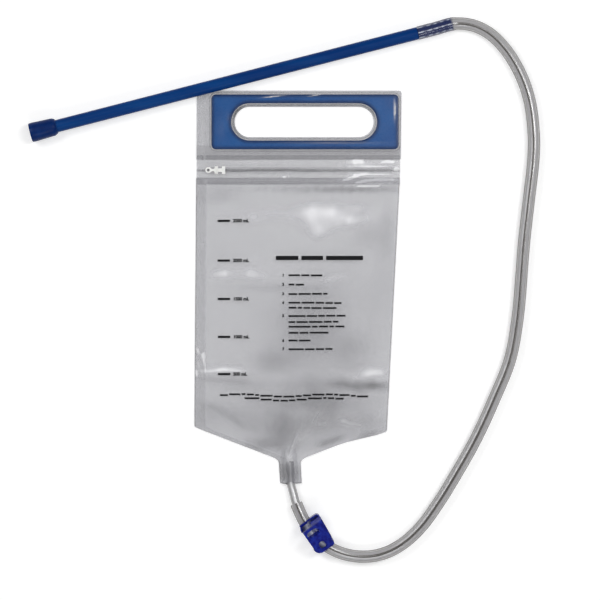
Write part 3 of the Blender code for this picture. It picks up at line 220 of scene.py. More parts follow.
@dataclass(frozen=True)
class SlackFilm:
    """Calendered PVC bag film, 0.5 mm: clear but milky, whiter along folds and welds, with soft glints.

    Each mesh carries its whitening, from folds, welds and painted highlights, "shade", painted shade in
    hollows, folds and along edges, and "clearness", how much of the veil is missing where the film is
    stretched over something.
    """

    name: str = "calendered_pvc_film"
    grey: str = "#A0A0AA"
    # The white of whitening and painted highlights, and the dark grey of painted shade
    white: str = "#F8F8FB"
    dark: str = "#57575A"
    veil: float = 0.15
    slant_cover: float = 0.45
    fold_cover: float = 0.7
    shade_cover: float = 0.4
    roughness: float = 0.42
    roughness_spread: float = 0.06
    gloss: float = 0.6
    cloud_mm: float = 38.0
    cloud_tone: tuple[float, float] = (-0.03, 0.07)
    wrinkle_mm: float = 11.0
    wrinkle_depth_mm: float = 0.6
    scuff_mm: float = 1.6

    def build(self) -> Material:
        """Makes the film's material.

        Returns:
            The material.
        """
        material, tree, output = blank_material(self.name)
        place = add_node(tree, "ShaderNodeTexCoord").outputs["Object"]
        milk_and_highlight, shade, clear = (
            add_node(tree, "ShaderNodeAttribute", {"attribute_name": name}).outputs["Fac"]
            for name in ("milk_and_highlight", "shade", "clearness")
        )
        # Clouds a few centimetres wide, where the calendered sheet is a little milkier
        cloud = add_node(
            tree, "ShaderNodeTexNoise", {"Scale": 1000.0 / self.cloud_mm, "Detail": 3.0}, {"Vector": place}
        )
        cloudy = add_node(
            tree,
            "ShaderNodeMapRange",
            {
                "From Min": 0.35,
                "From Max": 0.75,
                "To Min": self.cloud_tone[0],
                "To Max": self.cloud_tone[1],
            },
            {"Value": cloud.outputs[0]},
        )
        # Whitening and painted highlights, with the clouds, mix in the white
        whiter = add_node(
            tree,
            "ShaderNodeMath",
            {"operation": "ADD", "use_clamp": True},
            {0: milk_and_highlight, 1: cloudy.outputs["Result"]},
        )
        pale = add_node(
            tree,
            "ShaderNodeMix",
            {"data_type": "RGBA", 6: linear(self.grey), 7: linear(self.white)},
            {0: whiter.outputs[0]},
        )
        # Painted shade mixes in the dark grey
        shaded = add_node(
            tree, "ShaderNodeMix", {"data_type": "RGBA", 7: linear(self.dark)}, {0: shade, 6: pale.outputs[2]}
        )
        # The veil covers more where the film slants or folds, and where painted shade greys it
        edge = add_node(tree, "ShaderNodeLayerWeight", {"Blend": 0.28}).outputs["Facing"]
        slanting = add_node(
            tree,
            "ShaderNodeMath",
            {"operation": "MULTIPLY_ADD", 1: self.slant_cover, 2: self.veil},
            {0: edge},
        )
        creased = add_node(tree, "ShaderNodeMath", {"operation": "POWER", 1: 2.0}, {0: whiter.outputs[0]})
        folded = add_node(
            tree,
            "ShaderNodeMath",
            {"operation": "MULTIPLY_ADD", 1: self.fold_cover},
            {0: creased.outputs[0], 2: slanting.outputs[0]},
        )
        hollow = add_node(
            tree,
            "ShaderNodeMath",
            {"operation": "MULTIPLY_ADD", 1: self.shade_cover},
            {0: shade, 2: folded.outputs[0]},
        )
        thin = add_node(tree, "ShaderNodeMath", {"operation": "SUBTRACT", 0: 1.0}, {1: clear})
        alpha = add_node(
            tree,
            "ShaderNodeMath",
            {"operation": "MULTIPLY", "use_clamp": True},
            {0: hollow.outputs[0], 1: thin.outputs[0]},
        )
        # Rubbed specks, drawn at 1.6 mm where the real ones are a few tenths, so that they show at all
        scuff = add_node(
            tree, "ShaderNodeTexNoise", {"Scale": 1000.0 / self.scuff_mm, "Detail": 2.0}, {"Vector": place}
        )
        rough = add_node(
            tree,
            "ShaderNodeMapRange",
            {
                "From Min": 0.3,
                "From Max": 0.7,
                "To Min": self.roughness - self.roughness_spread,
                "To Max": self.roughness + self.roughness_spread,
            },
            {"Value": scuff.outputs[0]},
        )
        wrinkle = add_node(
            tree, "ShaderNodeTexNoise", {"Scale": 1000.0 / self.wrinkle_mm, "Detail": 4.0}, {"Vector": place}
        )
        bump = add_node(
            tree,
            "ShaderNodeBump",
            {"Strength": 0.35, "Distance": self.wrinkle_depth_mm * MM},
            {"Height": wrinkle.outputs[0]},
        )
        shader = add_node(
            tree,
            "ShaderNodeBsdfPrincipled",
            {"IOR": GLOSSY_IOR, "Specular IOR Level": self.gloss},
            {
                "Base Color": shaded.outputs[2],
                "Alpha": alpha.outputs[0],
                "Roughness": rough.outputs["Result"],
                "Normal": bump.outputs["Normal"],
            },
        )
        tree.links.new(shader.outputs[0], output.inputs[0])
        return material


@dataclass(frozen=True)
class ClearTube:
    """Extruded soft PVC tube: greyish and see-through, with painted shade along its bore and its sides, and a
    wet gloss.

    Each stop is where on the tube it is, from 0 on the middle to 1 at the side, its colour and how much it
    covers what lies behind. The mesh's "grip" marks where the tube sits on the barb, whose blue fills it like
    a lens, and its "dash" the painted highlights between the barb's ridges there, which show along two thin
    lines.
    """

    name: str
    # The stops paint the tube's look through its walls: painted shade at the middle and the sides, paler bands
    # between
    stops: tuple[tuple[float, str, float], ...] = (
        (0.0, "#4E4B48", 0.85),
        (0.012, "#5E5B58", 0.8),
        (0.035, "#BAB8BA", 0.5),
        (0.15, "#CFCED2", 0.46),
        (0.26, "#A8A6A4", 0.56),
        (0.36, "#C2C0C1", 0.58),
        (0.47, "#9B9997", 0.75),
        (0.6, "#545251", 0.95),
    )
    barb: str = "#062058"
    barb_cover: float = 0.85
    barb_core: tuple[tuple[float, float], ...] = ((0.6, 1.0), (0.82, 0.45))
    # Painted highlights between the barb's ridges: their colour and where round the tube they show
    glint: str = "#D9E2F0"
    glint_lines: tuple[tuple[float, float], ...] = (
        (0.0, 0.6),
        (0.003, 0.6),
        (0.012, 0.0),
        (0.24, 0.0),
        (0.3, 0.6),
        (0.38, 0.6),
        (0.45, 0.0),
    )
    haze_mm: float = 14.0
    roughness: tuple[float, float] = (0.13, 0.26)

    def build(self) -> Material:
        """Makes the tube's material.

        Returns:
            The material.
        """
        material, tree, output = blank_material(self.name)
        facing = add_node(tree, "ShaderNodeLayerWeight", {"Blend": 0.5}).outputs["Facing"]
        colour, cover, lines, core = (
            add_node(tree, "ShaderNodeValToRGB", links={"Fac": facing}, stops=stops).outputs["Color"]
            for stops in (
                [(at, linear(code)) for at, code, _ in self.stops],
                [(at, grey(share)) for at, _, share in self.stops],
                [(at, grey(share)) for at, share in self.glint_lines],
                [(at, grey(share)) for at, share in self.barb_core],
            )
        )
        grip, dash = (
            add_node(tree, "ShaderNodeAttribute", {"attribute_name": name}).outputs["Fac"]
            for name in ("grip", "dash")
        )
        gripped = add_node(tree, "ShaderNodeMath", {"operation": "MULTIPLY"}, {0: grip, 1: core}).outputs[0]
        between = add_node(tree, "ShaderNodeMath", {"operation": "MULTIPLY"}, {0: dash, 1: grip}).outputs[0]
        glinting = add_node(tree, "ShaderNodeMath", {"operation": "MULTIPLY"}, {0: between, 1: lines})
        blue = add_node(
            tree, "ShaderNodeMix", {"data_type": "RGBA", 7: linear(self.barb)}, {0: gripped, 6: colour}
        )
        pale = add_node(
            tree,
            "ShaderNodeMix",
            {"data_type": "RGBA", 7: linear(self.glint)},
            {0: glinting.outputs[0], 6: blue.outputs[2]},
        )
        alpha = add_node(tree, "ShaderNodeMix", {3: self.barb_cover}, {0: gripped, 2: cover})
        place = add_node(tree, "ShaderNodeTexCoord").outputs["Object"]
        # Patches of haze from handling, a centimetre or two long
        haze = add_node(
            tree, "ShaderNodeTexNoise", {"Scale": 1000.0 / self.haze_mm, "Detail": 3.0}, {"Vector": place}
        )
        rough = add_node(
            tree,
            "ShaderNodeMapRange",
            {
                "From Min": 0.3,
                "From Max": 0.7,
                "To Min": self.roughness[0],
                "To Max": self.roughness[1],
            },
            {"Value": haze.outputs[0]},
        )
        shader = add_node(
            tree,
            "ShaderNodeBsdfPrincipled",
            {"IOR": GLOSSY_IOR, "Specular IOR Level": 0.8},
            {"Base Color": pale.outputs[2], "Alpha": alpha.outputs[0], "Roughness": rough.outputs["Result"]},
        )
        tree.links.new(shader.outputs[0], output.inputs[0])
        return material


@dataclass(frozen=True)
class MouldedPlastic:
    """Injection-moulded or extruded solid plastic: even colour, faint flow marks, soft gloss, fine scratches.

    Where it has a rim colour, a painted shade, the mesh carries "rim", how near a place is to the piece's
    rolled edge.
    """

    name: str
    colour: str
    worn: str
    roughness: float = 0.3
    ior: float = 1.49
    gloss: float = 0.5
    coat: float = 0.15
    blotch_mm: float = 18.0
    grain_mm: float = 0.9
    grain_depth_mm: float = 0.02
    stretch: tuple[float, float, float] = (1.0, 1.0, 1.0)
    turn: float = 0.0
    see_through: float = 0.0
    rim: str | None = None

    def build(self) -> Material:
        """Makes the plastic's material.

        Returns:
            The material.
        """
        material, tree, output = blank_material(self.name)
        place = add_node(tree, "ShaderNodeTexCoord").outputs["Object"]
        along = add_node(
            tree,
            "ShaderNodeMapping",
            {"Rotation": (0.0, 0.0, self.turn), "Scale": self.stretch},
            {"Vector": place},
        ).outputs["Vector"]
        blotch = add_node(
            tree, "ShaderNodeTexNoise", {"Scale": 1000.0 / self.blotch_mm, "Detail": 3.0}, {"Vector": along}
        )
        share = add_node(
            tree,
            "ShaderNodeMapRange",
            {"From Min": 0.4, "From Max": 0.72, "To Min": 0.0, "To Max": 0.6},
            {"Value": blotch.outputs[0]},
        )
        colour = add_node(
            tree,
            "ShaderNodeMix",
            {"data_type": "RGBA", 6: linear(self.colour), 7: linear(self.worn)},
            {0: share.outputs["Result"]},
        ).outputs[2]
        # Painted shade darkens the piece towards its rolled edges
        if self.rim is not None:
            rolled = add_node(tree, "ShaderNodeAttribute", {"attribute_name": "rim"}).outputs["Fac"]
            rim_shaded = add_node(
                tree, "ShaderNodeMix", {"data_type": "RGBA", 7: linear(self.rim)}, {0: rolled, 6: colour}
            )
            colour = rim_shaded.outputs[2]
        grain = add_node(
            tree, "ShaderNodeTexNoise", {"Scale": 1000.0 / self.grain_mm, "Detail": 2.0}, {"Vector": along}
        )
        rough = add_node(
            tree,
            "ShaderNodeMapRange",
            {
                "From Min": 0.3,
                "From Max": 0.7,
                "To Min": self.roughness - 0.06,
                "To Max": self.roughness + 0.08,
            },
            {"Value": grain.outputs[0]},
        )
        bump = add_node(
            tree,
            "ShaderNodeBump",
            {"Strength": 0.6, "Distance": self.grain_depth_mm * MM},
            {"Height": grain.outputs[0]},
        )
        shader = add_node(
            tree,
            "ShaderNodeBsdfPrincipled",
            {
                "IOR": self.ior,
                "Specular IOR Level": self.gloss,
                "Coat Weight": self.coat,
                "Coat Roughness": 0.12,
                "Alpha": 1.0 - self.see_through,
            },
            {
                "Base Color": colour,
                "Roughness": rough.outputs["Result"],
                "Normal": bump.outputs["Normal"],
            },
        )
        tree.links.new(shader.outputs[0], output.inputs[0])
        return material


# The outlet tube's wall is thin: a painted highlight makes it pale in the middle, and painted shade darkens
# only its sides
OUTLET_STOPS: tuple[tuple[float, str, float], ...] = (
    (0.0, "#F8F8FA", 0.7),
    (0.03, "#E2E2E4", 0.45),
    (0.12, "#C4C4C6", 0.4),
    (0.26, "#8B8A8A", 0.66),
    (0.4, "#B5B4B6", 0.5),
    (0.6, "#949394", 0.75),
    (0.85, "#5F5E5E", 0.9),
)
# Between the clamp's blue walls the hose is painted with their blue light and shade, with a pale painted
# highlight in the middle
CLAMPED_STOPS: tuple[tuple[float, str, float], ...] = (
    (0.0, "#E4E8F4", 0.7),
    (0.03, "#B4BAD6", 0.55),
    (0.12, "#8A90B8", 0.55),
    (0.26, "#4E5490", 0.75),
    (0.4, "#6C74A6", 0.65),
    (0.6, "#444A84", 0.8),
    (0.85, "#262C6A", 0.92),
)


@dataclass(frozen=True)
class Finishes:
    """The object's finishes, each made once."""

    film: Material
    ridged: Material
    ink: Material
    hose: Material
    outlet: Material
    clamped: Material
    plate: Material
    slider: Material
    clamp: Material
    probe: Material
    tip: Material
    barb: Material

    @classmethod
    def mixed(cls) -> Finishes:
        """Makes every finish.

        Returns:
            The finishes.
        """
        along_probe = (0.12, 1.0, 1.0)
        return cls(
            # Calendered soft PVC: a milky, slack, glossy sheet
            film=SlackFilm().build(),
            # Extruded stiffer PVC of the zip: the same, but glossier, with harder glints on its ridges
            ridged=SlackFilm("extruded_pvc_zip", roughness=0.22, gloss=0.8).build(),
            # Screen-printed vinyl ink: a matt black, a little thin in places
            ink=MouldedPlastic(
                "screen_printed_ink", "#0B0B0E", "#1A1A1E", 0.6, gloss=0.15, coat=0.0, blotch_mm=3.0
            ).build(),
            # Extruded soft PVC: a grey lens with a line of painted shade along its bore
            hose=ClearTube("clear_pvc_hose").build(),
            # The same in a thin wall: a painted highlight down the middle
            outlet=ClearTube("clear_pvc_outlet", OUTLET_STOPS).build(),
            # The same between the clamp's walls: painted with their blue light and shade
            clamped=ClearTube("clear_pvc_in_clamp", CLAMPED_STOPS).build(),
            # Moulded soft PVC under film: an even mid blue, with painted shade round its rolled edges
            plate=MouldedPlastic(
                "blue_pvc_plate",
                "#124A88",
                "#1E5A98",
                0.3,
                gloss=0.3,
                coat=0.0,
                blotch_mm=26.0,
                rim="#052450",
            ).build(),
            # Moulded acetal: a hard opaque white with sharp small glints
            slider=MouldedPlastic("white_acetal", "#F3F3F1", "#E4E4E2", 0.3, blotch_mm=4.0).build(),
            # Moulded clear-tinted polypropylene: a deep violet blue that lets a little light through
            clamp=MouldedPlastic(
                "blue_clear_polypropylene",
                "#070F76",
                "#2440BC",
                0.2,
                gloss=0.4,
                coat=0.15,
                blotch_mm=4.5,
                see_through=0.08,
            ).build(),
            # Extruded polyethylene: a waxy deep blue with marks drawn out along the tube
            probe=MouldedPlastic(
                "blue_polyethylene_tube",
                "#00306E",
                "#064888",
                0.36,
                gloss=0.1,
                coat=0.0,
                blotch_mm=22.0,
                stretch=along_probe,
                turn=math.radians(-14.5),
            ).build(),
            # Moulded polyethylene: the same blue, darker and smoother than the tube
            tip=MouldedPlastic(
                "blue_polyethylene_tip", "#02225A", "#05306E", 0.34, gloss=0.12, coat=0.0, blotch_mm=9.0
            ).build(),
            # Moulded polyethylene inside the hose: dark, with soft bands of light on its ridges
            barb=MouldedPlastic(
                "blue_moulded_barb", "#072560", "#0C3278", 0.3, coat=0.0, blotch_mm=8.0
            ).build(),
        )


def smooth_by_angle(bm: BMesh, degrees: float = 32.0) -> None:
    """Shades a mesh smooth but for its sharp edges.

    Args:
        bm: the mesh.
        degrees: edges sharper than this stay sharp.
    """
    limit = math.radians(degrees)
    for face in bm.faces:
        face.smooth = True
    for edge in bm.edges:
        edge.smooth = not (edge.is_manifold and edge.calc_face_angle(0.0) > limit)


def paint(mesh: Mesh, name: str, values: np.ndarray) -> None:
    """Stores one number a vertex as a named attribute."""
    attribute = mesh.attributes.new(name, "FLOAT", "POINT")
    attribute.data.foreach_set("value", np.asarray(values, np.float32).ravel())


def points_of(mesh: Mesh) -> np.ndarray:
    """Reads a mesh's vertices.

    Args:
        mesh: the mesh.

    Returns:
        Rows of x, y and z.
    """
    places = np.zeros(len(mesh.vertices) * 3)
    mesh.vertices.foreach_get("co", places)
    return places.reshape(-1, 3)


def finished(name: str, bm: BMesh, finish: Material) -> Object:
    """Makes an object at the origin from a mesh in the making.

    Args:
        name: the piece's name.
        bm: its mesh, which is freed.
        finish: its material.

    Returns:
        The object, linked to the scene.
    """
    mesh = bpy.data.meshes.new(name)
    bm.to_mesh(mesh)
    bm.free()
    mesh.materials.append(finish)
    made = bpy.data.objects.new(name, mesh)
    bpy.context.scene.collection.objects.link(made)
    return made


def hand_over(made: Object, body: Body, stands_for: Sequence[str] = ()) -> Object:
    """Makes a piece ride on its body and stand for the solids that it replaces.

    Args:
        made: the piece.
        body: the body that it rides on.
        stands_for: the solids that it replaces.

    Returns:
        The piece.
    """
    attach(made, body.value)
    if stands_for:
        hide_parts(*stands_for)
    log.info("%s: %d faces on %s", made.name, len(made.data.polygons), body.value)
    return made


def tree_of(mesh: Mesh) -> BVHTree:
    """Sorts a mesh's faces, so that a height on it is quickly found."""
    return BVHTree.FromPolygons([v.co for v in mesh.vertices], [tuple(p.vertices) for p in mesh.polygons])


def height_on(tree: BVHTree, x: float, y: float) -> float:
    """Looks straight down on a mesh.

    Args:
        tree: its faces.
        x: the place across.
        y: the place along.

    Returns:
        The height of its top there, or not a number where it has nothing.
    """
    hit = tree.ray_cast(Vector((x, y, LOOK_FROM)), Vector((0, 0, -1)))[0]
    return math.nan if hit is None else hit.z


def merged_copy(node: Object) -> BMesh:
    """Copies a solid's mesh and merges its loose triangles.

    Args:
        node: the solid's object.

    Returns:
        The new mesh.
    """
    bm = bmesh.new()
    bm.from_mesh(node.data)
    bmesh.ops.remove_doubles(bm, verts=bm.verts, dist=2e-6)
    bmesh.ops.dissolve_degenerate(bm, dist=1e-6, edges=bm.edges)
    return bm


def with_soft_edges(made: Object, width_mm: float, segments: int = 3, degrees: float = 30.0) -> Object:
    """Rounds a piece's sharp edges with a bevel.

    Args:
        made: the piece.
        width_mm: how wide the rounding is.
        segments: faces across it.
        degrees: edges flatter than this stay.

    Returns:
        The piece.
    """
    bevel = made.modifiers.new("edge_rounding", "BEVEL")
    bevel.width = width_mm * MM
    bevel.segments = segments
    bevel.limit_method = "ANGLE"
    bevel.angle_limit = math.radians(degrees)
    bevel.miter_outer = "MITER_ARC"
    bevel.harden_normals = True
    return made


def smooth_line(points: Sequence[Vector], step: float) -> list[Vector]:
    """Points about a step apart on a centripetal Catmull-Rom curve, the same curve as in the part's source.

    Args:
        points: the points that it passes through.
        step: the rough distance between its points.

    Returns:
        The curve's points.
    """
    line: list[Vector] = []
    padded = [2 * points[0] - points[1], *points, 2 * points[-1] - points[-2]]
    for p in zip(padded, padded[1:], padded[2:], padded[3:]):
        knots = [0.0]
        for start, end in zip(p, p[1:]):
            knots.append(knots[-1] + math.sqrt((end - start).length))
        count = max(2, math.ceil((p[2] - p[1]).length / step))
        for index in range(count):
            at = knots[1] + (knots[2] - knots[1]) * index / count
            a = [p[i].lerp(p[i + 1], (at - knots[i]) / (knots[i + 1] - knots[i])) for i in range(3)]
            b = [a[i].lerp(a[i + 1], (at - knots[i]) / (knots[i + 2] - knots[i])) for i in range(2)]
            line.append(b[0].lerp(b[1], (at - knots[1]) / (knots[2] - knots[1])))
    line.append(points[-1])
    return line


def stretch_of(line: Sequence[Vector], start: float, end: float, spacing: float) -> list[Vector]:
    """Evenly spaced points of a line from one length along it to another.

    Args:
        line: the line's points.
        start: where the stretch begins, along the line.
        end: where it ends.
        spacing: the rough distance between its points.

    Returns:
        The stretch's points.
    """
    table = np.array([tuple(p) for p in line])
    lengths = np.concatenate([[0.0], np.cumsum(np.linalg.norm(np.diff(table, axis=0), axis=1))])
    at = np.linspace(start, min(end, lengths[-1]), max(2, round((end - start) / spacing)) + 1)
    return [Vector(row) for row in np.stack([np.interp(at, lengths, table[:, k]) for k in range(3)], axis=1)]


def frames_along(line: Sequence[Vector]) -> list[Matrix]:
    """A frame at each point of a line, its Z along the line, turning as little as it can.

    Args:
        line: the line's points.

    Returns:
        One matrix a point.
    """
    tangents = [(b - a).normalized() for a, b in zip([line[0], *line[:-1]], [*line[1:], line[-1]])]
    tangents[0] = (line[1] - line[0]).normalized()
    side = tangents[0].orthogonal().normalized()
    if abs(tangents[0].z) < 0.9:
        side = (Vector((0, 0, 1)) - tangents[0] * tangents[0].z).normalized()
    frames = []
    for point, tangent in zip(line, tangents):
        side = (side - tangent * side.dot(tangent)).normalized()
        turned = Matrix((side, tangent.cross(side), tangent)).transposed().to_4x4()
        frames.append(Matrix.Translation(point) @ turned)
    return frames


def sweep(
    bm: BMesh, line: Sequence[Vector], radii: Sequence[float], steps: int
) -> tuple[list[BMEdge], list[BMEdge]]:
    """Draws an open round tube along a line.

    Args:
        bm: the mesh that gets it.
        line: the tube's middle line.
        radii: its radius at each point.
        steps: faces round it.

    Returns:
        The edges round its first and its last end.
    """
    places = [frame @ Matrix.Diagonal((r, r, r, 1.0)) for frame, r in zip(frames_along(line), radii)]
    first = bmesh.ops.create_circle(bm, segments=steps, radius=1.0, matrix=places[0])["verts"]
    start = edges = list(dict.fromkeys(edge for vert in first for edge in vert.link_edges))
    for before, after in zip(places, places[1:]):
        made = bmesh.ops.extrude_edge_only(bm, edges=edges)["geom"]
        edges = [item for item in made if isinstance(item, BMEdge)]
        ring = [item for item in made if isinstance(item, BMVert)]
        bmesh.ops.transform(bm, matrix=after @ before.inverted(), verts=ring)
    return start, edges


def pipe(
    bm: BMesh, line: Sequence[Vector], radius: Sequence[float], bore: Sequence[float], steps: int
) -> None:
    """Draws a pipe with a wall: an outer tube, its bore and the two cut ends.

    Args:
        bm: the mesh that gets it.
        line: the pipe's middle line.
        radius: its outer radius at each point.
        bore: its bore's radius at each point.
        steps: faces round it.
    """
    for edges, hole in zip(sweep(bm, line, radius, steps), sweep(bm, line, bore, steps)):
        bmesh.ops.bridge_loops(bm, edges=[*edges, *hole])
    bmesh.ops.recalc_face_normals(bm, faces=bm.faces)


def lathe(profile: Sequence[tuple[float, float]], place: Matrix, steps: int = 64) -> BMesh:
    """Spins a closed profile round its axis.

    Args:
        profile: corners as (radius, place along the axis), in order round the wall.
        place: where the axis lies.
        steps: faces round it.

    Returns:
        The closed mesh.
    """
    bm = bmesh.new()
    corners = [bm.verts.new((radius, 0.0, along)) for radius, along in profile]
    edges = [bm.edges.new(pair) for pair in zip(corners, [*corners[1:], corners[0]])]
    bmesh.ops.spin(
        bm,
        geom=[*corners, *edges],
        cent=(0, 0, 0),
        axis=(0, 0, 1),
        angle=math.tau,
        steps=steps,
        use_merge=True,
    )
    bmesh.ops.remove_doubles(bm, verts=bm.verts, dist=1e-7)
    bmesh.ops.recalc_face_normals(bm, faces=bm.faces)
    bmesh.ops.transform(bm, matrix=place, verts=bm.verts)
    smooth_by_angle(bm)
    return bm


def rounded(
    profile: Sequence[tuple[float, float]], radius: float, steps: int = 3
) -> list[tuple[float, float]]:
    """Rounds a closed profile's corners.

    Args:
        profile: its corners.
        radius: the most that a corner is cut back.
        steps: points on each corner.

    Returns:
        The rounded profile.
    """
    found = []
    count = len(profile)
    for index, corner in enumerate(profile):
        here = Vector(corner)
        before = Vector(profile[index - 1]) - here
        after = Vector(profile[(index + 1) % count]) - here
        cut = min(radius, 0.4 * before.length, 0.4 * after.length)
        start, end = here + before.normalized() * cut, here + after.normalized() * cut
        for step in range(steps + 1):
            t = step / steps
            found.append(tuple((1 - t) ** 2 * start + 2 * t * (1 - t) * here + t * t * end))
    return found


@dataclass(frozen=True)
class Crease:
    """A front film fold: its line, half width and rise in millimetres, its whitening and painted highlight, or
    painted shade below zero.
    """

    line: tuple[tuple[float, float], ...]
    half_width: float
    rise: float
    milk_and_highlight: float

    def strength(self, x: np.ndarray, y: np.ndarray) -> np.ndarray:
        """How much of the fold there is at each place: 1 on its middle, fading across and towards its ends.

        Args:
            x: places across the bag, in millimetres.
            y: places along it.

        Returns:
            A number from 0 to 1 for each place.
        """
        best = np.full(x.shape, 1e9)
        along = np.zeros(x.shape)
        lengths = [math.dist(a, b) for a, b in zip(self.line, self.line[1:])]
        done = 0.0
        for (ax, ay), (bx, by), length in zip(self.line, self.line[1:], lengths):
            t = np.clip(((x - ax) * (bx - ax) + (y - ay) * (by - ay)) / length**2, 0.0, 1.0)
            away = np.hypot(x - ax - t * (bx - ax), y - ay - t * (by - ay))
            closer = away < best
            best = np.where(closer, away, best)
            along = np.where(closer, (done + t * length) / sum(lengths), along)
            done += length
        # Its last fifth at each end narrows to two thirds and fades to a quarter
        taper = np.clip(4.0 * np.minimum(along, 1.0 - along) + 0.25, 0.0, 1.0)
        return np.exp(-((best / (self.half_width * (0.55 + 0.45 * taper))) ** 2)) * taper


# The folds across the sheet, the soft ones in its upper half, and those of its foot and of the neck, with
# painted highlight along them and painted shade in the hollows beside some
FRONT_CREASES: tuple[Crease, ...] = (
    Crease(((-117, -96), (-104, -97), (-88, -95), (-72, -96), (-56, -97)), 3.0, 0.5, 0.6),
    Crease(((-118, -105), (-97, -106), (-77, -108), (-54, -110)), 3.7, -0.5, -0.22),
    Crease(((-56, -97), (-35, -103), (-17, -102)), 4.0, 0.4, 0.14),
    Crease(((31, -97), (45, -98), (59, -104), (73, -108)), 4.5, 0.3, 0.3),
    Crease(((66, -104), (84, -99), (101, -99)), 6.5, 0.2, 0.4),
    Crease(((31, -111), (50, -112), (70, -117), (100, -111)), 5.0, -0.3, -0.4),
    Crease(((7, 94), (13, 75), (18, 55)), 9.0, 0.1, 0.24),
    Crease(((8, 94), (27, 90), (45, 87)), 8.0, 0.1, 0.22),
    Crease(((20, 57), (34, 68), (50, 76), (66, 79)), 9.0, 0.1, 0.22),
    Crease(((52, 80), (62, 76), (74, 78), (84, 83)), 6.5, 0.1, 0.3),
    Crease(((27, 5), (41, 10), (54, 14)), 4.5, 0.15, 0.3),
    Crease(((-104, 85), (-81, 82), (-58, 79), (-40, 75)), 7.0, 0.1, 0.25),
    Crease(((-103, 13), (-93, 16), (-81, 18)), 6.0, 0.15, 0.3),
    Crease(((-63, 18), (-49, 12), (-35, 10)), 6.5, 0.15, 0.25),
    Crease(((31, -132), (18, -152), (1, -175), (-11, -198)), 6.0, 0.4, 0.35),
    Crease(((1, -157), (-5, -175), (-12, -194), (-14, -205)), 2.1, 0.4, 0.4),
    Crease(((52, -189), (31, -188), (15, -194), (1, -202)), 3.2, 0.3, 0.6),
    Crease(((54, -172), (38, -177), (22, -183)), 4.0, -0.3, -0.25),
    Crease(((20, -159), (34, -155)), 4.5, 0.2, 0.45),
    Crease(((44, -152), (58, -157), (76, -160)), 3.4, 0.3, 0.6),
    Crease(((62, 116.3), (78, 116.8), (97, 117)), 1.7, 0.0, 1.2),
    Crease(((80, -168), (91, -165), (100, -162)), 4.4, 0.3, 0.5),
    Crease(((98, -134), (93, -148), (84, -157)), 2.8, 0.3, 0.3),
    Crease(((-118, -133), (-97, -139), (-77, -150), (-61, -164)), 3.9, -0.5, -0.14),
    Crease(((-84, -127), (-68, -141), (-49, -162), (-31, -185)), 3.4, 0.5, 0.1),
    Crease(((-42, -143), (-26, -148), (-10, -152)), 6.9, -0.4, -0.1),
    Crease(((-26, -201), (-19, -210), (-18, -224)), 2.8, -0.3, -0.18),
    Crease(((36, 112), (43, 85), (47, 55)), 9.2, 0.3, 0.05),
    Crease(((-42, 64), (-22, 29), (-10, -14)), 11.5, 0.4, 0.03),
    Crease(((84, 43), (77, -14), (84, -74)), 9.2, 0.3, 0.05),
    Crease(((-88, -14), (-95, -49), (-86, -86)), 9.2, 0.5, 0.05),
    Crease(((1, -74), (36, -86), (84, -81)), 8.0, 0.4, 0.06),
)


@dataclass(frozen=True)
class Cloud:
    """A broad soft patch of milky haze and painted highlight on the slack film, or of painted shade where its
    tone is below zero.
    """

    middle: tuple[float, float]
    reach: tuple[float, float]
    tone: float
    turn: float = 0.0

    def amount(self, x: np.ndarray, y: np.ndarray) -> np.ndarray:
        """How much of the patch there is at each place.

        Args:
            x: places across the bag, in millimetres.
            y: places along it.

        Returns:
            A number from 0 to 1 for each place.
        """
        # The patch's outline wavers, and its middle keeps its full strength
        sway = 0.25 * waves(x, y, 2.6 * min(self.reach), 41)
        turn = math.radians(self.turn)
        dx, dy = x - self.middle[0], y - self.middle[1]
        across = (dx * math.cos(turn) + dy * math.sin(turn)) / self.reach[0]
        along = (dy * math.cos(turn) - dx * math.sin(turn)) / self.reach[1]
        return np.exp(-1.6 * np.clip(np.hypot(across, along) - sway, 0.0, None) ** 2)


# Broad patches of milky haze and painted highlight on the sheet, and hollows of painted shade
FRONT_CLOUDS: tuple[Cloud, ...] = (
    Cloud((31, 84), (52, 22), 0.78),
    Cloud((22, 66), (12, 15), 0.3),
    Cloud((70, 91), (18, 8), 0.3),
    Cloud((-34, 85), (46, 13), 0.42),
    Cloud((-66, 15), (46, 11), 0.5),
    Cloud((-40, 28), (26, 9), 0.25),
    Cloud((-88, 16), (12, 8), 0.2),
    Cloud((30, 9), (22, 4), 0.35, 10),
    Cloud((-88, -93), (36, 8), 0.4),
    Cloud((86, -97), (30, 9), 0.5),
    Cloud((-84, -70), (30, 60), 0.1),
    Cloud((100, 60), (14, 46), -0.2),
    Cloud((86, -16), (40, 66), -0.14),
    Cloud((8, -46), (50, 62), -0.42),
    Cloud((60, 113), (70, 5), -0.4),
    Cloud((-96, 106), (34, 12), -0.15),
    Cloud((-30, 0), (60, 7), -0.15),
    Cloud((84, -113), (36, 7), -0.45, -6),
    Cloud((18, -112), (44, 12), -0.3),
    Cloud((-62, -112), (50, 9), -0.2),
    Cloud((-60, -152), (50, 18), -0.22, -14),
    Cloud((14, -131), (70, 14), -0.48),
    Cloud((-18, -168), (34, 18), -0.3),
    Cloud((80, 60), (20, 20), -0.25),
    Cloud((-10, -214), (16, 14), -0.45),
    Cloud((20, 113), (100, 5), -0.2),
    Cloud((58, -72), (30, 34), -0.32),
    Cloud((-30, -84), (30, 18), -0.3),
    Cloud((30, -154), (84, 22), -0.44),
    Cloud((-104, -150), (24, 26), -0.12),
    Cloud((-30, -182), (40, 10), -0.4),
    Cloud((62, -148), (24, 8), 0.4, 12),
    Cloud((78, -172), (18, 6), -0.4, 20),
    Cloud((34, -178), (24, 8), -0.2, 20),
)


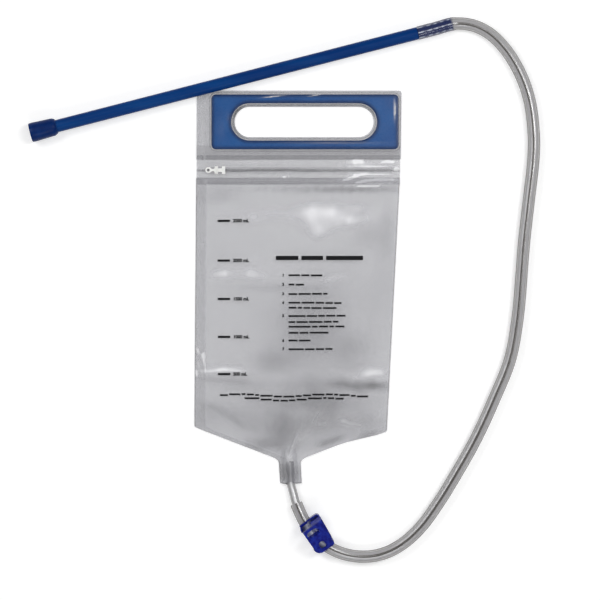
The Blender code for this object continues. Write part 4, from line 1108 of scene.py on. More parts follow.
# Soft glints on the film over the plate, at its right end, its foot, its upper side and its left end
PLATE_GLINTS: tuple[Cloud, ...] = (
    Cloud((110, 204), (2.2, 17), 0.6),
    Cloud((104, 212), (9, 12), 0.08),
    Cloud((40, 166.4), (84, 1.8), 0.3),
    Cloud((-30, 220.0), (17, 1.1), 0.8, 6),
    Cloud((19, 221.6), (12, 1.0), 0.7, 10),
    Cloud((-90, 184), (9, 20), 0.14),
    Cloud((-82, 196), (3, 9), 0.16),
    Cloud((96, 182), (8, 10), 0.05),
)


def smooth_step(t: np.ndarray) -> np.ndarray:
    """Rises smoothly from 0 to 1 as t does, and stays level outside."""
    t = np.clip(t, 0.0, 1.0)
    return t * t * (3.0 - 2.0 * t)


def waves(x: np.ndarray, y: np.ndarray, length_mm: float, seed: int) -> np.ndarray:
    """A slack film's own waves: a few crossing ripples of about one length, from -1 to 1.

    Args:
        x: places across the bag, in millimetres.
        y: places along it.
        length_mm: the ripples' rough length.
        seed: which set of ripples.

    Returns:
        A height for each place.
    """
    rng = np.random.default_rng(seed)
    total = np.zeros_like(x)
    for _ in range(RIPPLES):
        turn, phase, stretch = rng.uniform(0, math.tau), rng.uniform(0, math.tau), rng.uniform(0.7, 1.5)
        total += np.sin((x * math.cos(turn) + y * math.sin(turn)) * math.tau / (length_mm * stretch) + phase)
    return total / RIPPLES


def stain(clouds: Iterable[Cloud], x: np.ndarray, y: np.ndarray, milk_and_highlight: np.ndarray, shade: np.ndarray) -> None:
    """Adds soft patches to a film's whitening and greying.

    Args:
        clouds: the patches.
        x: places across the bag, in millimetres.
        y: places along it.
        milk_and_highlight: the whitening for each place, which grows.
        shade: the greying, which grows.
    """
    # A patch above zero adds whitening and painted highlight, and one below zero painted shade
    for cloud in clouds:
        amount = cloud.amount(x, y)
        milk_and_highlight += max(cloud.tone, 0.0) * amount
        shade += max(-cloud.tone, 0.0) * amount


def crinkled(x: np.ndarray, y: np.ndarray, length_mm: float, seed: int, depth: float = 1.1) -> np.ndarray:
    """A crinkle's strength for each place, from 0 to 1, with flat tops and flat gaps."""
    return np.clip(0.5 + depth * waves(x, y, length_mm, seed), 0.0, 1.0)


@dataclass
class FeedingBag:
    """The bag: a flat back film, a front film that stands off it, and a film laid over the carrying plate."""

    nodes: dict[str, Object]
    finishes: Finishes
    columns: int = 170
    rows: int = 250
    film: float = 0.0005
    # The foot and the neck follow the solid closely, and above them the sheet is eased
    close_passes: int = 3
    eased_passes: int = 50
    foot_mm: float = -188.0
    foot_blend_mm: float = 20.0
    # Ripples as height, length and seed, only where the sheet stands off the back
    ripples: tuple[tuple[float, float, int], ...] = ((0.4, 62.0, 5), (0.1, 26.0, 11))
    free_from_mm: float = 1.7
    free_blend_mm: float = 4.0
    # The side welds: a wide one on the left, crushed halfway down, and a narrow rim on the right
    weld_mm: float = 12.4
    weld_blend_mm: float = 0.8
    weld_milk_least: float = 0.16
    weld_milk_crinkle: float = 0.24
    weld_dark: float = 0.2
    crushed_at_mm: float = -86.0
    crushed_mm: float = 16.0
    crushed_milk: float = 0.9
    ridge_milk: float = 0.3
    rim_mm: float = 2.6
    rim_blend_mm: float = 0.6
    rim_milk: float = 0.1
    # Painted shade along the sheet's cut edges at the sides and the foot
    edge_mm: tuple[float, float] = (1.3, 1.2)
    painted_edge_shade: float = 0.7
    # The film over the plate: how high it lies there, and where its weld and the hand slot's border are
    plate_from_mm: float = 2.6
    plate_blend_mm: float = 1.9
    plate_clear: float = 0.97
    # How much the painted glints over the plate take from its clearness
    glint_cover: float = 0.75
    handle_cells: tuple[int, int] = (200, 70)
    handle_weld_mm: float = -105.5
    slot_middle_mm: tuple[float, float] = (6.0, 190.5)
    slot_border_mm: tuple[float, float] = (91.0, 28.0)
    front_flat: tuple[float, float] = (0.237, 0.352)
    back_flat: tuple[float, float] = (0.239, 0.453)
    handle_flat: tuple[float, float] = (0.236, 0.079)
    front: Object | None = field(default=None, init=False)

    def build(self) -> None:
        """Makes the three films."""
        self.make_back()
        self.make_handle()
        self.front = self.make_front()

    def sides(self, node: str, y: np.ndarray) -> tuple[np.ndarray, np.ndarray]:
        """Where the bag's left and right sides lie at some heights of a solid.

        Args:
            node: the solid's name.
            y: the heights.

        Returns:
            The left and the right side at each height.
        """
        mesh = self.nodes[node].data
        places = points_of(mesh)
        ends = np.array([tuple(edge.vertices) for edge in mesh.edges])
        start, end = places[ends[:, 0]], places[ends[:, 1]]
        run = end[:, 1] - start[:, 1]
        rising = np.abs(run) > 1e-7
        start, end, run = start[rising], end[rising], run[rising]
        left, right = np.zeros_like(y), np.zeros_like(y)
        for index, height in enumerate(y):
            share = (height - start[:, 1]) / run
            met = (share >= 0.0) & (share <= 1.0)
            crossed = (start[:, 0] + share * (end[:, 0] - start[:, 0]))[met]
            left[index], right[index] = crossed.min(), crossed.max()
        return left, right

    def make_front(self) -> Object:
        """Makes the front film: a fine grid over its solid, with the real one's folds and waves.

        Returns:
            The film.
        """
        bottom, ceiling = (corner.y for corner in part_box("front_film"))
        heights = np.linspace(bottom + 1e-6, ceiling - 1e-6, self.rows + 1)
        left, right = self.sides("front_film", heights)
        bm = bmesh.new()
        bmesh.ops.create_grid(bm, x_segments=self.columns, y_segments=self.rows, size=0.5)
        bm.verts.ensure_lookup_table()
        grid = np.round(np.array([tuple(v.co) for v in bm.verts]), 6)
        y = heights[0] + (grid[:, 1] + 0.5) * (heights[-1] - heights[0])
        low, high = np.interp(y, heights, left), np.interp(y, heights, right)
        x = low + (high - low) * (grid[:, 0] + 0.5)
        top = node_top(tree_of(self.nodes["front_film"].data), x, y, low, high)
        order = np.lexsort((grid[:, 0], grid[:, 1]))
        grid_top = top[order].reshape(self.rows + 1, self.columns + 1)
        close, eased = np.empty_like(top), np.empty_like(top)
        close[order] = blurred(grid_top, self.close_passes).ravel()
        eased[order] = blurred(grid_top, self.eased_passes).ravel()
        x_mm, y_mm = x / MM, y / MM
        smooth = close + (eased - close) * smooth_step((y_mm - self.foot_mm) / self.foot_blend_mm)
        # The folds and the clouds give whitening, painted highlights and painted shade
        rise, milk_and_highlight, shade = folds(FRONT_CREASES, x_mm, y_mm)
        stain(FRONT_CLOUDS, x_mm, y_mm, milk_and_highlight, shade)
        free = smooth_step((smooth / MM - self.free_from_mm) / self.free_blend_mm)
        rise += sum(height * waves(x_mm, y_mm, length, seed) for height, length, seed in self.ripples)
        z = smooth + rise * free * MM
        from_left, from_right, from_foot = (x - low) / MM, (high - x) / MM, (y - heights[0]) / MM
        milk_and_highlight += self.weld_milk(x_mm, y_mm, from_left, from_right)
        shade += self.weld_dark * smooth_step((self.weld_mm - from_left) / self.weld_blend_mm)
        for index, vert in enumerate(bm.verts):
            vert.co = (x[index], y[index], z[index])
        bmesh.ops.recalc_face_normals(bm, faces=bm.faces)
        if sum(f.normal.z for f in bm.faces) < 0:
            bmesh.ops.reverse_faces(bm, faces=bm.faces)
        smooth_by_angle(bm, 70.0)
        made = finished("front_film_sheet", bm, self.finishes.film)
        paint(made.data, "milk_and_highlight", np.clip(milk_and_highlight, 0.0, 1.0))
        # Painted shade along the cut edges at the sides and the foot
        at_side = smooth_step(self.edge_mm[0] - np.minimum(from_left, from_right))
        at_foot = smooth_step(self.edge_mm[1] - from_foot)
        paint(made.data, "shade", np.clip(shade + self.painted_edge_shade * (at_side + at_foot), 0.0, 1.0))
        solid = made.modifiers.new("film_thickness", "SOLIDIFY")
        solid.thickness = self.film
        solid.offset = -1.0
        hand_over(made, Body.BAG, ["front_film"])
        return made

    def weld_milk(
        self, x: np.ndarray, y: np.ndarray, from_left: np.ndarray, from_right: np.ndarray
    ) -> np.ndarray:
        """How much the side welds whiten the film.

        Args:
            x: places across the bag, in millimetres.
            y: places along it.
            from_left: distances from the bag's left side.
            from_right: distances from its right side.

        Returns:
            The whitening for each place.
        """
        band = smooth_step((self.weld_mm - from_left) / self.weld_blend_mm)
        ridge = np.exp(-(((from_left - self.weld_mm) / self.weld_blend_mm) ** 2))
        crinkle = crinkled(x * 1.6, y * 0.7, 12.0, 23)
        crushed = smooth_step(1.5 - np.abs(y - self.crushed_at_mm) / self.crushed_mm)
        right = smooth_step((self.rim_mm - from_right) / self.rim_blend_mm)
        whitest = self.weld_milk_crinkle + self.crushed_milk * crushed
        weld = band * (self.weld_milk_least + whitest * crinkle**2)
        return weld + self.ridge_milk * ridge + self.rim_milk * right

    def make_back(self) -> None:
        """The back film, flat on the floor, with the slot for the hand."""
        bm = merged_copy(self.nodes["back_film"])
        smooth_by_angle(bm)
        made = finished("back_film_sheet", bm, self.finishes.film)
        hand_over(made, Body.BAG, ["back_film"])

    def make_handle(self) -> None:
        """The film over the carrying plate, tight and clear on top with painted glints, and milky where it is
        welded round it.
        """
        bm = merged_copy(self.nodes["handle_film"])
        dice(bm, *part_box("handle_film"), *self.handle_cells)
        smooth_by_angle(bm, 50.0)
        made = finished("handle_film_sheet", bm, self.finishes.film)
        x, y, z = (points_of(made.data) / MM).T
        over = smooth_step((z - self.plate_from_mm) / self.plate_blend_mm)
        # Painted glints over the plate: there the film is whiter and less clear
        glow = sum(glint.tone * glint.amount(x, y) for glint in PLATE_GLINTS)
        weld = smooth_step((self.handle_weld_mm - x) / self.weld_blend_mm)
        crinkle = crinkled(x * 2.0, y * 0.3, 9.0, 29)
        paint(made.data, "clearness", over * (self.plate_clear - self.glint_cover * np.clip(glow, 0.0, 1.0)))
        milk_and_highlight = (1.0 - over) * (0.1 + 0.4 * weld * crinkle**2) + over * 2.0 * glow
        paint(made.data, "milk_and_highlight", np.clip(milk_and_highlight, 0.0, 1.0))
        # Painted shade darkens the slot's border on its far side and its left end; the strip below the plate
        # is darker too
        across, along = x - self.slot_middle_mm[0], y - self.slot_middle_mm[1]
        by_slot = (np.abs(across) < self.slot_border_mm[0]) & (np.abs(along) < self.slot_border_mm[1])
        border = 0.3 + 0.35 * smooth_step((y - 190.0) / 15.0) + 0.35 * smooth_step((-60.0 - x) / 12.0)
        strip = 0.2 + 0.2 * smooth_step((165.0 - y) / 3.0)
        paint(made.data, "shade", (1.0 - over) * np.where(by_slot, border, strip))
        hand_over(made, Body.BAG, ["handle_film"])


def dice(bm: BMesh, low: Vector, high: Vector, columns: int, rows: int) -> None:
    """Cuts a mesh into strips both ways, so that it can carry patterns and ripples.

    Args:
        bm: the mesh.
        low: its lowest corner.
        high: its highest corner.
        columns: strips across.
        rows: strips along.
    """
    for axis, count in ((0, columns), (1, rows)):
        places = [low[axis] + (high[axis] - low[axis]) * k / count for k in range(1, count)]
        cut(bm, list(bm.faces), axis, places)


def cut(bm: BMesh, faces: Sequence[BMFace], axis: int, places: Sequence[float]) -> None:
    """Cuts faces across an axis at some places: at the middle one first, and then each half by itself.

    Args:
        bm: the mesh.
        faces: the faces.
        axis: 0 for x and 1 for y.
        places: where the cuts are, in rising order.
    """
    if not places or not faces:
        return
    half = len(places) // 2
    normal = Vector((axis == 0, axis == 1, 0))
    edges = dict.fromkeys(edge for face in faces for edge in face.edges)
    verts = dict.fromkeys(vert for face in faces for vert in face.verts)
    geom = [*verts, *edges, *faces]
    found = bmesh.ops.bisect_plane(bm, geom=geom, plane_co=normal * places[half], plane_no=normal, dist=1e-7)
    parts = [item for item in found["geom"] if isinstance(item, BMFace)]
    below = [face for face in parts if face.calc_center_median()[axis] < places[half]]
    above = [face for face in parts if face.calc_center_median()[axis] >= places[half]]
    cut(bm, below, axis, places[:half])
    cut(bm, above, axis, places[half + 1 :])


def node_top(
    tree: BVHTree, x: np.ndarray, y: np.ndarray, low: np.ndarray, high: np.ndarray
) -> np.ndarray:
    """The height of a solid's top at each place, found by looking down on it.

    Args:
        tree: the solid's faces.
        x: places across.
        y: places along.
        low: the left side at each place, which a look stays just inside.
        high: the right side.

    Returns:
        The height for each place.
    """
    inset = 0.00005
    top = np.zeros_like(x)
    bottom, ceiling = y.min() + inset, y.max() - inset
    for index, place in enumerate(zip(np.clip(x, low + inset, high - inset), np.clip(y, bottom, ceiling))):
        top[index] = height_on(tree, *place)
    known = ~np.isnan(top)
    top[~known] = top[known].min()
    return top


def blurred(level: np.ndarray, passes: int) -> np.ndarray:
    """Evens out a grid of heights, its border kept.

    Args:
        level: rows of heights.
        passes: how often each is averaged with its neighbours.

    Returns:
        The evened grid.
    """
    level = level.copy()
    for _ in range(passes):
        inner = (
            4 * level[1:-1, 1:-1] + level[:-2, 1:-1] + level[2:, 1:-1] + level[1:-1, :-2] + level[1:-1, 2:]
        ) / 8
        level[1:-1, 1:-1] = inner
    return level


def folds(
    creases: Iterable[Crease], x: np.ndarray, y: np.ndarray
) -> tuple[np.ndarray, np.ndarray, np.ndarray]:
    """Adds up what the creases do at each place.

    Args:
        creases: the folds.
        x: places across, in millimetres.
        y: places along.

    Returns:
        The rise in millimetres, the whitening with painted highlight, and the painted shade for each place.
    """
    rise, milk_and_highlight, shade = np.zeros_like(x), np.zeros_like(x), np.zeros_like(x)
    for crease in creases:
        strength = crease.strength(x, y)
        rise += crease.rise * strength
        milk_and_highlight += max(crease.milk_and_highlight, 0.0) * strength
        shade += max(-crease.milk_and_highlight, 0.0) * strength
    return rise, milk_and_highlight, shade


@dataclass
class VolumeScale:
    """The bag's print: a plain volume scale, a list's numbers, and rows of plain bars."""

    bag: FeedingBag
    ink: Material
    tick: tuple[float, float] = (0.0144, 0.0026)
    number_size: float = 0.0052
    number_offset_mm: float = 10.6
    list_number_size: float = 0.0042
    list_number_mm: float = -19.6
    list_left_mm: float = -12.4
    boldness: float = 0.0003
    bar_height: float = 0.0021
    bar_gap_mm: float = 1.5
    # Rows below this lie on slack film and sway with it
    slack_below_mm: float = -120.0
    slack_sway_mm: float = 1.5
    slack_wave_mm: float = 96.0
    lift: float = 0.00008
    cell: float = 0.002
    marks: tuple[tuple[str, float, float], ...] = (
        ("2500 mL", -87.0, 76.7),
        ("2000 mL", -87.0, 30.9),
        ("1500 mL", -86.8, -13.3),
        ("1000 mL", -86.6, -57.0),
        ("500 mL", -86.6, -99.9),
    )
    # The upper row: where each bar starts and its width
    heading: tuple[tuple[float, float], ...] = ((-27.0, 26.0), (2.4, 25.0), (30.8, 42.6))
    heading_mm: float = 33.9
    heading_height: float = 0.0049
    # The list: each row's number, its height on the bag, its right end, and its bars' shares of it
    rows: tuple[tuple[str, float, float, tuple[int, ...]], ...] = (
        ("1", 13.8, 26.5, (11, 8, 11)),
        ("2", 3.3, 5.5, (6, 8)),
        ("3", -7.5, 32.5, (9, 12, 10, 5)),
        ("4", -17.8, 48.6, (12, 13, 9, 8, 8)),
        ("", -23.6, 42.8, (8, 5, 7, 10, 13)),
        ("5", -32.8, 53.2, (16, 10, 7, 9, 9)),
        ("", -39.7, 45.1, (7, 11, 13, 8, 6)),
        ("", -45.1, 52.0, (20, 6, 9, 5, 9)),
        ("", -52.1, 33.6, (10, 9, 18)),
        ("6", -61.3, 12.9, (9, 11)),
        ("7", -71.0, 38.2, (14, 9, 8, 7)),
    )
    # The two lowest rows: their ends, their height and their bars' shares
    low_rows: tuple[tuple[tuple[float, float], float, tuple[int, ...]], ...] = (
        ((-91.5, 79.4), -124.4, (9, 12, 5, 8, 5, 13, 9, 12, 7, 9, 13, 8, 5, 11, 6, 12)),
        ((-63.0, 51.0), -128.8, (17, 13, 8, 9, 8, 12, 16, 5, 8, 10)),
    )

    def build(self) -> None:
        """Makes the ticks, the numbers and the bars, laid on the front film."""
        tree = tree_of(self.bag.front.data)
        bm = bmesh.new()
        for text, x, y in self.marks:
            self.bar(bm, x * MM, y * MM, *self.tick)
            self.number(bm, text, (x + self.number_offset_mm) * MM, y * MM, self.number_size)
        for x, width in self.heading:
            self.bar(bm, (x + width / 2) * MM, self.heading_mm * MM, width * MM, self.heading_height)
        for number, y, end, shares in self.rows:
            if number:
                self.number(bm, number, self.list_number_mm * MM, y * MM, self.list_number_size)
            self.row(bm, (self.list_left_mm, end), y, shares)
        for ends, y, shares in self.low_rows:
            self.row(bm, ends, y, shares)
        bmesh.ops.triangulate(bm, faces=bm.faces)
        for vert in bm.verts:
            vert.co.z = height_on(tree, vert.co.x, vert.co.y) + self.lift
        made = finished("printed_scale", bm, self.ink)
        hand_over(made, Body.BAG)

    def bar(self, bm: BMesh, x: float, y: float, width: float, height: float) -> None:
        """Adds one printed bar.

        Args:
            bm: the print.
            x: its middle across the bag.
            y: its middle along it.
            width: its size across.
            height: its size along.
        """
        cells = max(1, round(width / self.cell))
        made = bmesh.ops.create_grid(bm, x_segments=cells, y_segments=1, size=0.5)["verts"]
        bmesh.ops.transform(bm, matrix=Matrix.Diagonal((width, height, 1.0, 1.0)), verts=made)
        bmesh.ops.translate(bm, vec=(x, y, 0.0), verts=made)

    def row(self, bm: BMesh, ends: tuple[float, float], y: float, shares: Sequence[int]) -> None:
        """Adds a row of bars from one end to the other, in millimetres.

        Args:
            bm: the print.
            ends: the row's left and right ends.
            y: its height on the bag.
            shares: the bars' shares of it.
        """
        x = ends[0]
        unit = (ends[1] - ends[0] + self.bar_gap_mm) / sum(shares)
        for index, share in enumerate(shares):
            width = share * unit - self.bar_gap_mm
            sway = 0.2 * math.sin(0.9 * index + y)
            if y < self.slack_below_mm:
                sway += self.slack_sway_mm * math.sin((x + width / 2 - 8.0) * math.tau / self.slack_wave_mm)
            self.bar(bm, (x + width / 2) * MM, (y + sway) * MM, width * MM, self.bar_height)
            x += share * unit

    def number(self, bm: BMesh, text: str, x: float, y: float, size: float) -> None:
        """Adds a plain number.

        Args:
            bm: the print.
            text: the number and its unit.
            x: its left end.
            y: its middle.
            size: its letters' size.
        """
        curve = bpy.data.curves.new("number", "FONT")
        curve.body = text
        curve.size = size
        curve.align_y = "CENTER"
        curve.offset = self.boldness
        holder = bpy.data.objects.new("number", curve)
        bpy.context.scene.collection.objects.link(holder)
        bpy.context.view_layer.update()
        flat = bpy.data.meshes.new_from_object(holder.evaluated_get(bpy.context.evaluated_depsgraph_get()))
        flat.transform(Matrix.Translation((x, y, 0.0)))
        bm.from_mesh(flat)
        bpy.data.objects.remove(holder)
        bpy.data.meshes.remove(flat)


@dataclass
class ZipClosure:
    """The zip: two clear ridged strips across the bag, and the white slider with its pull."""

    nodes: dict[str, Object]
    finishes: Finishes
    slider_edge_mm: float = 0.3
    strip_cells: tuple[int, int] = (150, 34)
    ridge_from_mm: float = 1.2
    # The strips' whitening: a little everywhere, painted highlight along the ridges' tops, and pale streaks
    least_milk: float = 0.1
    ridge_milk: float = 0.16
    streak_milk: float = 0.14
    streak_mm: float = 24.0
    # The ridges' and the welds' lines: where each is, its half width, and its painted highlight or, below
    # zero, painted shade
    lines: tuple[tuple[float, float, float], ...] = (
        (152.0, 0.6, -0.5),
        (149.9, 0.7, 0.16),
        (147.6, 0.6, -0.4),
        (144.0, 1.8, 0.1),
        (136.3, 0.7, -0.4),
        (134.5, 0.8, -0.75),
        (131.5, 1.5, 0.12),
        (126.2, 0.6, -0.45),
        (124.0, 0.8, 0.16),
        (121.6, 0.6, -0.35),
        (119.2, 0.6, -0.6),
    )
    # Glints, most of them near the right end, and one greyer streak
    glints: tuple[Cloud, ...] = (
        Cloud((66, 146), (12, 4), 0.9),
        Cloud((74, 142), (34, 5), 0.4),
        Cloud((86, 139.5), (34, 1.4), 0.8),
        Cloud((104, 145), (10, 2.4), 1.2),
        Cloud((113, 136.5), (5, 2.6), 1.6),
        Cloud((62, 127), (18, 2.6), 1.2, 16),
        Cloud((84, 130.5), (34, 1.5), 0.9),
        Cloud((76, 122.5), (18, 2.2), 1.2, 8),
        Cloud((98, 124.5), (20, 3.4), 0.9),
        Cloud((89, 118.4), (26, 1.8), 2.0, 2),
        Cloud((-18, 127.5), (6, 2.4), 0.9),
        Cloud((-60, 143), (50, 3), 0.25),
        Cloud((-20, 136.5), (90, 1.5), -0.3),
    )

    def build(self) -> None:
        """Makes the strips, the slider and the pull."""
        for name in ("zip_strip_lower", "zip_strip_upper"):
            self.make_strip(name)
        for name, body in (("zip_slider", Body.SLIDER), ("zip_pull", Body.PULL)):
            bm = merged_copy(self.nodes[name])
            self.join_flat(bm)
            smooth_by_angle(bm)
            made = finished(f"{name}_moulding", bm, self.finishes.slider)
            with_soft_edges(made, self.slider_edge_mm)
            hand_over(made, body, [name])

    def make_strip(self, name: str) -> None:
        """Makes one strip, with the painted highlight and shade of its ridges' lines, and its painted glints.

        Args:
            name: the solid that it stands for.
        """
        bm = merged_copy(self.nodes[name])
        self.join_flat(bm)
        dice(bm, *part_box(name), *self.strip_cells)
        smooth_by_angle(bm)
        made = finished(f"{name}_profile", bm, self.finishes.ridged)
        x, y, z = (points_of(made.data) / MM).T
        ridge = smooth_step(z - self.ridge_from_mm)
        streak = crinkled(x, 3.0 * y, self.streak_mm, 31, depth=1.2)
        milk_and_highlight = self.least_milk + self.ridge_milk * ridge + self.streak_milk * streak
        shade = np.zeros_like(x)
        stain(self.glints, x, y, milk_and_highlight, shade)
        # The lines waver a little, as the pressed film does
        sway = 0.25 * np.sin(x / 17.0) + 0.15 * np.sin(x / 6.3)
        # Each line adds painted highlight, or painted shade where its tone is below zero
        for height, half_width, tone in self.lines:
            line = np.exp(-(((y - height + sway) / half_width) ** 2))
            shade += max(-tone, 0.0) * line
            milk_and_highlight += max(tone, 0.0) * line
        paint(made.data, "milk_and_highlight", np.clip(milk_and_highlight, 0.0, 1.0))
        paint(made.data, "shade", np.clip(shade, 0.0, 1.0))
        hand_over(made, Body.BAG, [name])

    @staticmethod
    def join_flat(bm: BMesh) -> None:
        """Joins the triangles of each flat side to one face, so that edges can be rounded."""
        bmesh.ops.dissolve_limit(bm, angle_limit=math.radians(1.0), verts=bm.verts, edges=bm.edges)


@dataclass
class CarryingPlate:
    """The stiff blue plate with the hand slot, sealed between the films."""

    nodes: dict[str, Object]
    finish: Material
    cells: tuple[int, int] = (200, 70)
    rolled_degrees: float = 8.0
    rolled_mm: float = 2.4
    rolled_edge_shade: float = 0.8

    def build(self) -> None:
        """Makes the plate, with painted shade towards its rolled edges."""
        bm = merged_copy(self.nodes["handle_insert"])
        limit = math.radians(self.rolled_degrees)
        rolled = [edge for edge in bm.edges if edge.is_manifold and edge.calc_face_angle(0.0) > limit]
        rims = [[(vert.co / MM).xy for vert in edge.verts] for edge in rolled]
        dice(bm, *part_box("handle_insert"), *self.cells)
        smooth_by_angle(bm)
        made = finished("handle_insert_plate", bm, self.finish)
        places = points_of(made.data)[:, :2] / MM
        away = np.full(len(places), 1e9)
        for start, end in rims:
            run = np.array(end - start)
            t = np.clip((places - start) @ run / max(float(run @ run), 1e-9), 0.0, 1.0)
            away = np.minimum(away, np.linalg.norm(places - start - t[:, None] * run, axis=1))
        paint(made.data, "rim", self.rolled_edge_shade * np.exp(-((away / self.rolled_mm) ** 2)))
        hand_over(made, Body.BAG, ["handle_insert"])


@dataclass
class FeedingHose:
    """The outlet tube in the bag's neck and the clear hose from it through the clamp to the probe."""

    finishes: Finishes
    radius: float = 0.00715
    bore: float = 0.0048
    # The hose's end, which the barb widens
    cuff: float = 0.0078
    cuff_bore: float = 0.00615
    cuff_swell: float = 0.006
    outlet_radius: float = 0.00475
    outlet_bore: float = 0.0032
    outlet_in_hose: float = 0.019
    # How deep the barb sits, and how far from its inner end the blue that fills the hose begins
    barb: float = 0.047
    barb_taper: float = 0.0045
    grip_fade: float = 0.002
    # The spacing of the painted highlights between the ridges
    dash: float = 0.0074
    # Points along each length, the gap between two lengths, and the outlet's play in the hose
    spacing: float = 0.0015
    gap: float = 0.00015
    play: float = 0.0003
    line: list[Vector] = field(default_factory=list, init=False)

    def build(self) -> None:
        """Makes the outlet tube and the three lengths of hose."""
        self.line = smooth_line([Vector(p) for p in HOSE_ROUTE], ROUTE_STEP)
        self.make_outlet()
        self.make_first()
        self.make_clamped()
        self.make_last()

    def make_first(self) -> None:
        """The hose from the outlet tube, which is pushed into it, to the clamp."""
        line = stretch_of(self.line, HOSE_BEGINS, CLAMP_ENTRY - self.gap, self.spacing)
        bores = self.stepped(line, self.outlet_in_hose, self.outlet_radius + self.play, self.bore)
        self.make_hose("hose_to_clamp", line, [self.radius] * len(line), bores)

    def make_clamped(self) -> None:
        """The hose in the clamp, drawn round along its line."""
        line = stretch_of(self.line, CLAMP_ENTRY + self.gap, CLAMP_EXIT - self.gap, self.spacing)
        clamped = self.make_hose("hose_in_clamp", line, [self.radius] * len(line), [self.bore] * len(line))
        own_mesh(clamped)

    def make_last(self) -> None:
        """The hose from the clamp to the probe, wider where the barb sits in it, and marked there with the
        barb's blue and painted highlights.
        """
        table = np.array([tuple(p) for p in self.line])
        whole = float(np.linalg.norm(np.diff(table, axis=0), axis=1).sum())
        line = stretch_of(self.line, CLAMP_EXIT + self.gap, whole, self.spacing)
        distance = np.linspace(whole - CLAMP_EXIT - self.gap, 0.0, len(line))
        swell = smooth_step((self.barb - distance) / self.cuff_swell)
        radii = self.radius + (self.cuff - self.radius) * swell
        bores = self.bore + (self.cuff_bore - self.bore) * swell
        made = self.make_hose("hose_to_probe", line, list(radii), list(bores))
        back = np.linalg.norm(points_of(made.data) - np.array(tuple(line[-1])), axis=1)
        paint(made.data, "grip", smooth_step((self.barb - self.barb_taper - back) / self.grip_fade))
        paint(made.data, "dash", smooth_step(0.5 + 1.6 * np.sin(back * math.tau / self.dash + 1.0)))

    @staticmethod
    def stepped(line: Sequence[Vector], until: float, first: float, then: float) -> list[float]:
        """Works out a bore that narrows past a length along the line.

        Args:
            line: the hose's middle line.
            until: the length.
            first: the bore's radius before it.
            then: the radius past it.

        Returns:
            The radius at each point.
        """
        length = 0.0
        found = []
        for before, point in zip([line[0], *line], line):
            length += (point - before).length
            found.append(first if length < until else then)
        return found

    def make_hose(self, name: str, line: list[Vector], radii: list[float], bores: list[float]) -> Object:
        """Makes one length of hose.

        Args:
            name: the solid that it stands for.
            line: its middle line.
            radii: its outer radius at each point.
            bores: its bore's radius at each point.

        Returns:
            The piece.
        """
        bm = bmesh.new()
        pipe(bm, line, radii, bores, 36)
        smooth_by_angle(bm, 50.0)
        finish = self.finishes.clamped if name == "hose_in_clamp" else self.finishes.hose
        made = finished(f"{name}_pipe", bm, finish)
        hand_over(made, Body.BAG, [name])
        return made

    def make_outlet(self) -> None:
        """The thin outlet tube welded in the neck, which the hose is pushed over."""
        line = stretch_of(self.line, 0.0, HOSE_BEGINS + self.outlet_in_hose, self.spacing)
        bm = bmesh.new()
        pipe(bm, line, [self.outlet_radius] * len(line), [self.outlet_bore] * len(line), 32)
        smooth_by_angle(bm, 50.0)
        made = finished("outlet_tube_pipe", bm, self.finishes.outlet)
        hand_over(made, Body.BAG, ["outlet_tube"])


@dataclass
class PinchClamp:
    """The blue clamp on the hose: a trough with a springy arm that snaps down on the hose."""

    nodes: dict[str, Object]
    finish: Material
    edge_mm: float = 0.35
    # The arm's two corners by its hinge, in millimetres, their rounding and the ways that its sides face
    hinge_left: tuple[float, float] = (22.64, -306.97)
    hinge_right: tuple[float, float] = (40.44, -294.52)
    left_radius_mm: float = 7.0
    right_radius_mm: float = 3.0
    backwards: Vector = field(default_factory=lambda: Vector((0.573, -0.8195, 0.0)))
    leftwards: Vector = field(default_factory=lambda: Vector((-0.8195, -0.573, 0.0)))
    rightwards: Vector = field(default_factory=lambda: Vector((0.898, 0.44, 0.0)))

    def build(self) -> None:
        """Makes the trough and the arm with softened edges, the arm rounded at its hinge as the trough is."""
        for name, body in (("clamp_base", Body.BAG), ("clamp_arm", Body.LEVER)):
            bm = merged_copy(self.nodes[name])
            if body is Body.LEVER:
                left, right = (self.backwards, self.leftwards), (self.backwards, self.rightwards)
                self.round_corner(bm, self.hinge_left, left, self.left_radius_mm)
                self.round_corner(bm, self.hinge_right, right, self.right_radius_mm)
            ZipClosure.join_flat(bm)
            smooth_by_angle(bm)
            made = finished(f"{name}_moulding", bm, self.finish)
            with_soft_edges(made, self.edge_mm)
            hand_over(made, body, [name])

    @staticmethod
    def round_corner(
        bm: BMesh, corner: tuple[float, float], sides: tuple[Vector, Vector], radius: float, steps: int = 7
    ) -> None:
        """Cuts a plate's corner round, seen from above.

        Args:
            bm: the plate.
            corner: the corner, in millimetres.
            sides: the outward directions of the two sides that meet there.
            radius: the rounding's radius, in millimetres.
            steps: how many cuts make it.
        """
        centre = Vector((*corner, 0.0)) - radius * (sides[0] + sides[1]) / (1.0 + sides[0].dot(sides[1]))
        for step in range(steps):
            out = sides[0].slerp(sides[1], (step + 0.5) / steps).normalized()
            geom = [*bm.verts, *bm.edges, *bm.faces]
            place = (centre + radius * out) * MM
            made = bmesh.ops.bisect_plane(
                bm, geom=geom, plane_co=place, plane_no=out, dist=1e-7, clear_outer=True
            )
            rim = [item for item in made["geom_cut"] if isinstance(item, BMEdge)]
            bmesh.ops.holes_fill(bm, edges=rim)
        bmesh.ops.recalc_face_normals(bm, faces=bm.faces)


